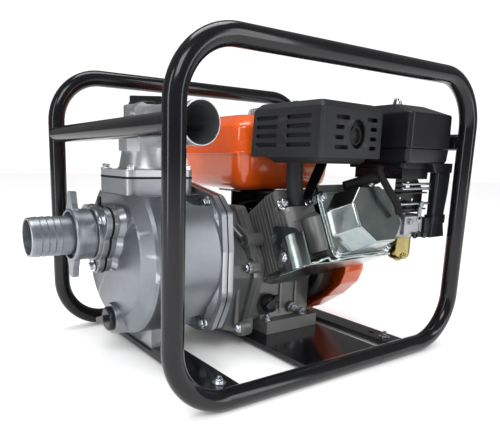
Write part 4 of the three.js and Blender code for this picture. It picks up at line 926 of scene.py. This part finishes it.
def make_exhaust():
    """The flange leans back against the head; its two nuts face the front, and the pipe turns up from it."""
    face = ENGINE @ EXHAUST_FACE
    lozenge = rounded([(-37, 2, 9), (-14, -13, 12), (14, -13, 12), (37, -2, 9), (14, 12, 12),
                       (-14, 12, 12)], 9)
    flange = prism("y", lozenge, -5, 2)
    port = prism("y", scaled(lozenge, 0.94), 2.2, 16)
    piece("exhaust_flange", [flange], face, "heat_paint", bevel=1.2, steps=3)
    piece("exhaust_port", [port], face, "grey_casting", bevel=1.0)
    studs = [bolt((x, -5, 0), (0, -1, 0), 12, 9, flange=9, stud=3.6) for x in (-27, 27)]
    piece("exhaust_nuts", studs, face, "bolt_steel", bevel=0.4, steps=1)
    path = smooth_path([(4, -112, 104), (4, -121, 105.5), (4, -126.5, 112), (4, -126, 124), (4.5, -122, 146),
                        (5, -120, 171)], 40)
    piece("exhaust_riser", [tube(path, 12, sides=48)], ENGINE, "heat_paint", replaces=["exhaust_pipe"],
          bevel=0)
    bar = tube([(31, -121, 113), (40, -118, 126), (58, -113, 152), (72, -110, 172)], 8, sides=16, flat=0.3)
    piece("exhaust_stay", [bar], ENGINE, "frame_paint", bevel=0)
    can = stacked("z", [(-8, box_outline(16, 122, 18, 106, 16)), (-4, box_outline(11, 127, 13, 111, 18)),
                        (20, box_outline(4.5, 133, 8, 135, 8)), (22, box_outline(3.4, 134.4, 6.6, 135.6, 9)),
                        (24, box_outline(3.4, 134.4, 6.6, 135.6, 9)), (26, box_outline(4.5, 133, 8, 135, 8)),
                        (60, box_outline(4.5, 133, 8, 135, 8)), (67, box_outline(14, 124, 14, 125, 8))])
    mouth = pipe("y", 11, 12.5, 13, (77, 2.5, 31))
    # near-black silencer: soot, and also painted shade for the inside of the guard seen through its slots and
    # mouth
    piece("silencer", [can, mouth], GUARD, "soot_and_painted_shade", replaces=["muffler"], bevel=0.8)


def guard_shell(inset):
    """The guard's pressed shape: upright walls, then a broad chamfer up to the flat top."""
    i = inset
    return stacked("z", [(-6, box_outline(i, 138 - i, i, 136 + 3 * i, 5)),
                         (0, box_outline(i, 138 - i, i, 136 + 3 * i, 5)),
                         (66 - 0.4 * i, box_outline(i, 138 - i, i, 131 + 3 * i, 5)),
                         (68 - 0.5 * i, box_outline(1.2 + i, 136.8 - i, 1.2 + i, 130 + 3 * i, 5)),
                         (75 - i, box_outline(8.6 + i, 129.4 - i, 8.6 + i, 124 + 3 * i, 5)),
                         (76 - i, box_outline(11 + i, 127 - i, 11 + i, 122 + 3 * i, 5))])


def slot_in_front(x0, x1, z):
    return prism("y", box_outline(x0, x1, z - 2.9, z + 2.9, 2.9), -6, 7)


def slot_in_side(y0, y1, z):
    return prism("x", box_outline(y0, y1, z - 2.9, z + 2.9, 2.9), -6, 7)


def oval_outline(grow):
    """Rim of the tail pipe's window, in (x, z)."""
    angles = [a * math.pi / 24 for a in range(48)]
    return [(77 + (17.5 + grow) * math.cos(a), 33 + (20 + grow) * math.sin(a)) for a in angles]


def make_guard():
    tools = [guard_shell(1.7), block(-10, 150, -10, 160, -12, 0)]
    for z in (17, 29.5, 42, 54.5):
        tools.append(slot_in_side(18, 62.5, z))
        tools.append(slot_in_side(80, 123, z))
    for i, z in enumerate((14.5, 27.5, 41, 54)):
        outer = i in (0, 3)
        tools.append(slot_in_front(28, 58 if outer else 47, z))
        tools.append(slot_in_front(98 if i == 3 else 107, 123, z))
    tools.append(prism("y", oval_outline(0), -6, 12))
    shell = cut(guard_shell(0), *tools)
    rolled = from_rings([[axis_point("y", y, u, v) for u, v in oval_outline(grow)]
                         for grow, y in ((0.2, 0.2), (1.6, -0.3), (0.4, -0.7), (0, 1.2))], closed=True)
    piece("silencer_guard", [shell, rolled], GUARD, "heat_paint", replaces=["muffler_guard"], bevel=0.5,
          sharp=36)
    screws = [bolt((x, 70, 75), (0, 0, 1), 8, 4, flange=6) for x in (24, 114)]
    piece("guard_screws", screws, GUARD, "bolt_steel", bevel=0.3, steps=1)


# ---------------------------------------------------------------- fuel tank

TANK = (-42, 168, -48, 134)
FILLER = (66, 30)


def tank_part(*rings):
    """A solid through the tank's outline: each ring is (height, inset, corner radius)."""
    x0, x1, y0, y1 = TANK
    return stacked("z", [(z, box_outline(x0 + i, x1 - i, y0 + i, y1 - i, radius)) for z, i, radius in rings])


def make_tank():
    lower = tank_part((125, 30, 20), (125.6, 25, 22), (127.5, 18, 24), (131.5, 11, 26), (138, 6.5, 28),
                      (150, 4, 28),
                      (183.5, 1.5, 28))
    upper = tank_part((184.5, 1.5, 28), (222, 4, 28), (227, 5.5, 28), (231, 9, 27), (243, 23, 22),
                      (245.3, 29, 20),
                      (246, 37, 18))
    seam = tank_part((182.6, -0.6, 28), (183.2, -1, 28), (186.6, -1, 28), (187.2, -0.6, 28))
    bore = rod("z", 19, 30, (*FILLER, 230), 64)
    neck = pipe("z", 19, 22, 6, (*FILLER, 244))
    piece("tank_shell", [lower, cut(upper, bore), seam, neck], ENGINE, "orange_paint", replaces=["fuel_tank"],
          bevel=0.8, steps=3, sharp=40)
    skirt = turned("z", [(0, 0.3), (25, 0.3), (26, 1.2), (26, 8.6), (24.6, 10.4), (18.5, 12.2), (17, 12.5),
                         (0, 12.5)],
                   segments=96)
    grips = []
    for k in range(24):
        grips.append(turn(rod("z", 1.3, 7.4, (25.9, 0, 1.2), 12), 15 * k, "Z"))
    plug = rod("z", 18, 8, (0, 0, -7), 64)
    piece("tank_filler_cap", [skirt, *grips, plug], ENGINE @ Matrix.Translation((*FILLER, 250)),
          "machined_aluminium",
          body="tank_cap", replaces=["fuel_cap"], bevel=0.4)
    plate_low = prism("z", box_outline(0, 100, 0, 56, 5), 82.4, 85)
    web = block(0, 100, 26, 30, 84, 122)
    gussets = [prism("x", [(2, 85), (27, 85), (27, 118)], x, x + 3) for x in (12, 48, 84)]
    plate_high = prism("z", box_outline(0, 100, 0, 70, 5), 121, 124.6)
    piece("tank_stand", [plate_low, web, *gussets, plate_high], ENGINE, "frame_paint",
          replaces=["tank_bracket"],
          bevel=0.6)
    piece("tank_stand_bolts", [bolt((x, 12, 85), (0, 0, 1), 10, 6, washer=8.5) for x in (30, 66)], ENGINE,
          "bolt_steel",
          bevel=0.3, steps=1)


# ---------------------------------------------------------------- air cleaner and carburettor

CLEANER = (141, 247, -214, -83)
STUD = (190, -150)


def cleaner_ring(inset, radius=8):
    x0, x1, y0, y1 = CLEANER
    return box_outline(x0 + inset, x1 - inset, y0 + inset, y1 - inset, radius)


def make_cleaner():
    lower = stacked("z", [(174, cleaner_ring(4)), (178, cleaner_ring(1.6)), (195.6, cleaner_ring(0.6))])
    skirt = stacked("z", [(166, box_outline(150, 236, -200, -95, 6)),
                          (174.5, box_outline(150, 236, -200, -95, 6))])
    duct = stacked("z", [(z, box_outline(*box)) for z, box in (
        (58, (218, 258, -212, -196, 3)), (62, (219, 257, -212, -196, 3)), (84, (222.5, 253, -211, -198, 3)),
        (96, (222.5, 254, -211, -198, 4)), (128, (222, 257, -212, -198, 4)),
        (160, (222, 258.5, -212, -197, 4)))])
    collar = stacked("z", [(160, box_outline(214, 260, -213, -190, 3)),
                           (175, box_outline(205, 260, -213, -190, 3))])
    clip = stacked("z", [(z, box_outline(219, 254, -213.4, -197, 3)) for z in (80, 94)])
    elbow = block(206, 224, -209, -184, 60, 90)
    piece("cleaner_housing", [lower, skirt, duct, collar, clip, elbow], ENGINE, "black_plastic",
          replaces=["air_cleaner_base"], bevel=1.0)
    x0, x1, y0, y1 = CLEANER
    roof = box_outline(x0 + 12, x1 - 26, y0 + 36, y1 - 8, 6)
    cover = stacked("z", [(196.3, cleaner_ring(0)), (245, cleaner_ring(0.6)), (247.5, cleaner_ring(1.2)),
                          (261.6, roof)])
    lip = stacked("z", [(196.3, cleaner_ring(-0.1)), (198.6, cleaner_ring(-0.1))])
    piece("cleaner_cover", [cover, lip], ENGINE, "black_plastic", replaces=["air_cleaner_cover"], bevel=1.3,
          steps=3,
          sharp=18)
    stud = rod("z", 3, 18, (*STUD, 256), 24)
    piece("cleaner_stud", [stud, bolt((254, -205, 88), (1, 0, 0), 9, 5, flange=7)], ENGINE, "bolt_steel",
          bevel=0.2)
    hub = turned("z", [(3.4, 0), (9.5, 0), (9.5, 1.2), (7.6, 1.8), (6, 8), (3.4, 8), (3.4, 0)], segments=40)
    wings = []
    for s in (-1, 1):
        wings.append(prism("y", rounded([(s * 4.6, 1.6), (s * 8, 1.6), (s * 14.6, 9), (s * 13, 12), (s * 10,
            12), (s * 4.6, 6)], 2), -1.3, 1.3))
    piece("cleaner_wing_nut", [hub, *[turn(w, 18, "Z") for w in wings]],
          ENGINE @ Matrix.Translation((*STUD, 262.3)), "bolt_steel", body="cleaner_nut",
          replaces=["wing_nut"],
          bevel=0.5)


def make_carburettor():
    manifold = prism("x", box_outline(-204, -126, 58, 98, 6), 132.4, 142.5)
    throat = turned("x", [(0, 0), (17, 0), (17, 18), (15, 22), (15, 34), (18, 40), (18, 54), (0, 54)],
                    (146, -186, 78), 64)
    ears = [prism("x", rounded([(-206, 60), (-166, 60), (-166, 96), (-206, 96)], 9), x,
                  x + 7) for x in (142.6, 196)]
    lid = turned("z", [(0, 0), (21, 0), (21, 5), (19, 7), (0, 7)], (174, -188, 62), 64)
    tower = block(156, 192, -208, -172, 66, 94)
    pilot = turned("y", [(0, 0), (4.5, 0), (4.5, 10), (0, 10)], (168, -212, 86), 32)
    nub = turned("z", [(0, 0), (6, 0), (6, 12), (4, 14), (0, 14)], (178, -186, 90), 32)
    shapes = [manifold, cut(join([throat]), rod("x", 12, 20, (190, -186, 78), 48)), *ears, lid, tower,
              pilot, nub]
    piece("carburettor_body", shapes, ENGINE, "cast_aluminium", replaces=["carburettor"], bevel=0.9)
    bowl = turned("z", [(0, 24), (9, 24), (13, 25.5), (16.4, 29.5), (17.6, 34.5), (17.6, 59.6),
                        (18.8, 60.4), (18.8, 61.9),
                        (0, 61.9)], (174, -188, 0), 96)
    drain = bolt((174, -188, 25), (0, 0, -1), 9, 4)
    side_drain = bolt((166, -203, 32), (-0.4, -0.8, -0.45), 7, 4, flange=5)
    piece("bowl", [bowl, drain, side_drain], ENGINE, "yellow_zinc", replaces=["float_bowl"], bevel=0.3)
    arm = prism("y", rounded([(-4, 0), (4, 0), (4, 24), (-4, 24)], 3), 0, 2.5)
    hub = rod("y", 5, 2.5, (0, 0, 0), 32)
    knob = turned("y", [(0, -3), (4.4, -3), (5, -2.4), (5, 2.5), (0, 2.5)], (0, 0, 24), 40)
    piece("choke_arm", [arm, hub, knob], ENGINE @ Matrix.Translation((190, -209.5, 88)), "zinc_plate",
          body="choke",
          replaces=["choke_lever"], bevel=0.4)
    arm = prism("y", rounded([(0, -3.5), (20, -3), (20, 3), (0, 3.5)], 2.4), 0, 3)
    hub = rod("y", 5, 3, (0, 0, 0), 32)
    knob = turned("y", [(0, -3), (4.4, -3), (5, -2.4), (5, 3), (0, 3)], (20, 0, 0), 40)
    piece("fuel_tap_arm", [arm, hub, knob], ENGINE @ Matrix.Translation((181, -212, 64)), "black_plastic",
          body="fuel_valve", replaces=["fuel_valve_lever"], bevel=0.4)
    lead = tube(smooth_path([(122, -180, 153), (112, -188, 166), (96, -202, 158), (100, -216, 136), (110,
        -224, 116), (114, -227, 102)], 48), 5.2, sides=20, flat=0.75)
    piece("plug_lead", [lead], ENGINE, "black_rubber", bevel=0)
    cap = tube(smooth_path([(122, -172, 148), (122, -179, 152), (112, -180, 153), (92, -172, 146),
                            (70, -160, 138)], 30),
               7.6, sides=24)
    piece("plug_cap", [cap], ENGINE, "black_rubber", bevel=0)
    hose = tube(smooth_path([(120, -40, 126), (132, -80, 118), (150, -130, 104), (166, -172, 96), (172,
        -186, 84)], 40), 3.2, sides=16)
    piece("fuel_hose", [hose], ENGINE, "black_rubber", bevel=0)
    front = prism("y", rounded([(146, 98), (214, 98), (214, 134), (196, 152), (146, 152)], 5), -194, -192)
    front = cut(front, *[rod("y", r, 10, (x, -198, z), 24) for x, z, r in ((158, 110, 2.2), (160, 121, 2.2),
        (190, 118, 2.6), (176, 140, 6))])
    shelves = [block(146, 212, -204, -120, z, z + 2.2) for z in (103, 128)]
    shelves.append(block(150, 214, -200, -110, 150, 166))
    rods = [rod("x", 2, 70, (144, -206, z), 20) for z in (113, 136, 143)]
    piece("control_bracket", [front, *shelves], ENGINE, "frame_paint", bevel=0.5)
    piece("control_rods", rods, ENGINE, "bolt_steel", bevel=0.2, steps=1)


# ---------------------------------------------------------------- fan housing and recoil starter


def fan_outline(inset):
    points = []
    r = 100 - inset
    for k in range(57):
        a = math.radians(-105 + 200 * k / 56)
        points.append((r * math.cos(a), r * math.sin(a)))
    corners = [(-70, 92), (-120, 66), (-133, 40), (-133, -4), (-125, -25), (-97, -53), (-50, -85)]
    corner_line = []
    for y, z in corners:
        away = math.hypot(y, z)
        corner_line.append((y * (1 - inset / away), z * (1 - inset / away), 14))
    return points + rounded([points[-1], *corner_line, points[0]], 14)[1:-1]


def make_housing():
    outer = stacked("x", [(118, fan_outline(0)), (156, fan_outline(0)), (162, fan_outline(1.2)),
                          (167, fan_outline(4)),
                          (169.4, fan_outline(8)), (170, fan_outline(12))])
    inner = stacked("x", [(110, fan_outline(2.4)), (158, fan_outline(2.4)), (167.6, fan_outline(13))])
    shell = cut(outer, inner, rod("x", 62, 20, (160, 0, 0), 96))
    lugs = [rod("x", 7, 20, (112.3, y, z), 32) for y, z in ((65, 65), (65, -65), (-20, -89))]
    switch = cut(block(168, 178, -121, -103, 5, 35), block(171.5, 180, -118, -106, 8, 32))
    piece("fan_cowl", [shell, *lugs], ENGINE, "orange_paint", replaces=["fan_housing"], bevel=0.6, sharp=36)
    piece("switch_box", [switch], ENGINE, "black_plastic", bevel=0.8)
    key = prism("y", rounded([(-5, -9), (3.4, -9), (5, 0, 10), (3.4, 9), (-5, 9)], 1.2), -5.5, 5.5)
    piece("switch_key", [key], ENGINE @ Matrix.Translation((178.6, -112, 20)), "red_plastic", body="switch",
          replaces=["engine_switch"], bevel=0.5)
    shell = turned("x", [(0, 34.4), (58, 34.4), (62, 33.6), (72, 27), (76, 20), (77.4, 6), (78, 2.5),
                         (78, 0), (75.6, 0),
                         (74.6, 8), (73, 20), (69, 26), (60, 31.6), (56, 32.2), (0, 32.2)], (170.3, 0, 0),
                   128)
    tools = []
    for k in range(16):
        vent = prism("x", box_outline(-3, 3, 34, 55, 3), 196, 215)
        tools.append(turn(vent, 22.5 * k, "X"))
    shell = cut(shell, join(tools), rod("y", 4, 40, (191, 55, 35), 32))
    dome = turned("x", [(0, 35), (14, 35), (18, 33.5), (22, 33.8), (26, 32.6), (0, 32.6)], (170.3, 0, 0), 64)
    post = rod("x", 8, 20, (183, 0, 0), 32)
    eyelet = turned("y", [(3.2, 0), (7, 0), (7, 2), (5.5, 6), (3.2, 6), (3.2, 0)], (191, 71, 35), 40)
    piece("recoil_shell", [shell, dome, post], ENGINE, "orange_paint", replaces=["recoil_cover"], bevel=0.5,
          sharp=36)
    piece("rope_eyelet", [eyelet], ENGINE, "black_plastic", bevel=0.3)
    bolts = []
    for k in range(4):
        a = math.radians(45 + 90 * k)
        bolts.append(bolt((169.8, 88 * math.cos(a), 88 * math.sin(a)), (1, 0, 0), 8, 5, flange=7))
    piece("cowl_bolts", bolts, ENGINE, "bolt_steel", bevel=0.3, steps=1)
    grip = prism("x", rounded([(6, -9), (12, -11), (19, -10), (22, -5), (22, 5), (19, 10), (12, 11), (6,
        9)], 4), -15, 15)
    neck = turned("y", [(0, 0), (6, 0), (6.6, 3), (9, 9), (0, 9)], segments=40)
    piece("pull_handle", [grip, neck], ENGINE @ Matrix.Translation((191, 84, 35)), "black_plastic",
          body="grip",
          replaces=["starter_grip"], bevel=2.2, steps=4)
    rope = tube([(191, 4 + 86 * k / 30, 35) for k in range(31)], 2, sides=16)
    rope = piece("pull_rope", [rope], ENGINE, "black_rubber", body=None, replaces=["starter_rope"], bevel=0)
    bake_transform(rope)


def make_throttle():
    plate = prism("z", box_outline(122, 160, -106, -60, 5), 106, 108)
    leg = block(122, 160, -64, -61.6, 94, 108)
    piece("throttle_plate", [plate, leg], ENGINE, "frame_paint", replaces=["throttle_bracket"], bevel=0.5)
    disc = turned("z", [(0, 0), (8, 0), (8, 2.2), (6.4, 3), (0, 3)], segments=48)
    arm = prism("z", rounded([(-3.5, 0), (-3.2, -46), (3.2, -46), (3.5, 0)], 1), 0, 3)
    knob = turned("z", [(0, 0), (6, 0), (6, 7), (4.6, 9), (0, 9)], (0, -46, 0), 48)
    piece("throttle_arm", [disc, arm, knob], ENGINE @ Matrix.Translation((140, -84, 108.4)), "black_plastic",
          body="throttle", replaces=["throttle_lever"], bevel=0.6)
    cable = tube(smooth_path([(138, -84, 112), (110, -40, 118), (60, -36, 112), (-10, -34, 108), (-36, -20,
        96)], 40), 1.6, sides=12)
    piece("throttle_link", [cable], ENGINE, "black_rubber", bevel=0)


make_block()
make_head()
make_air_guide()
make_exhaust()
make_guard()
make_tank()
make_cleaner()
make_carburettor()
make_housing()
make_throttle()

# ---------------------------------------------------------------- finishes for the CAD nodes

for sub in frame["record"]["subparts"]:
    o = frame["nodes"][sub["node"]]
    o.data.materials.clear()
    o.data.materials.append(MATERIALS[sub["material_slot"]])
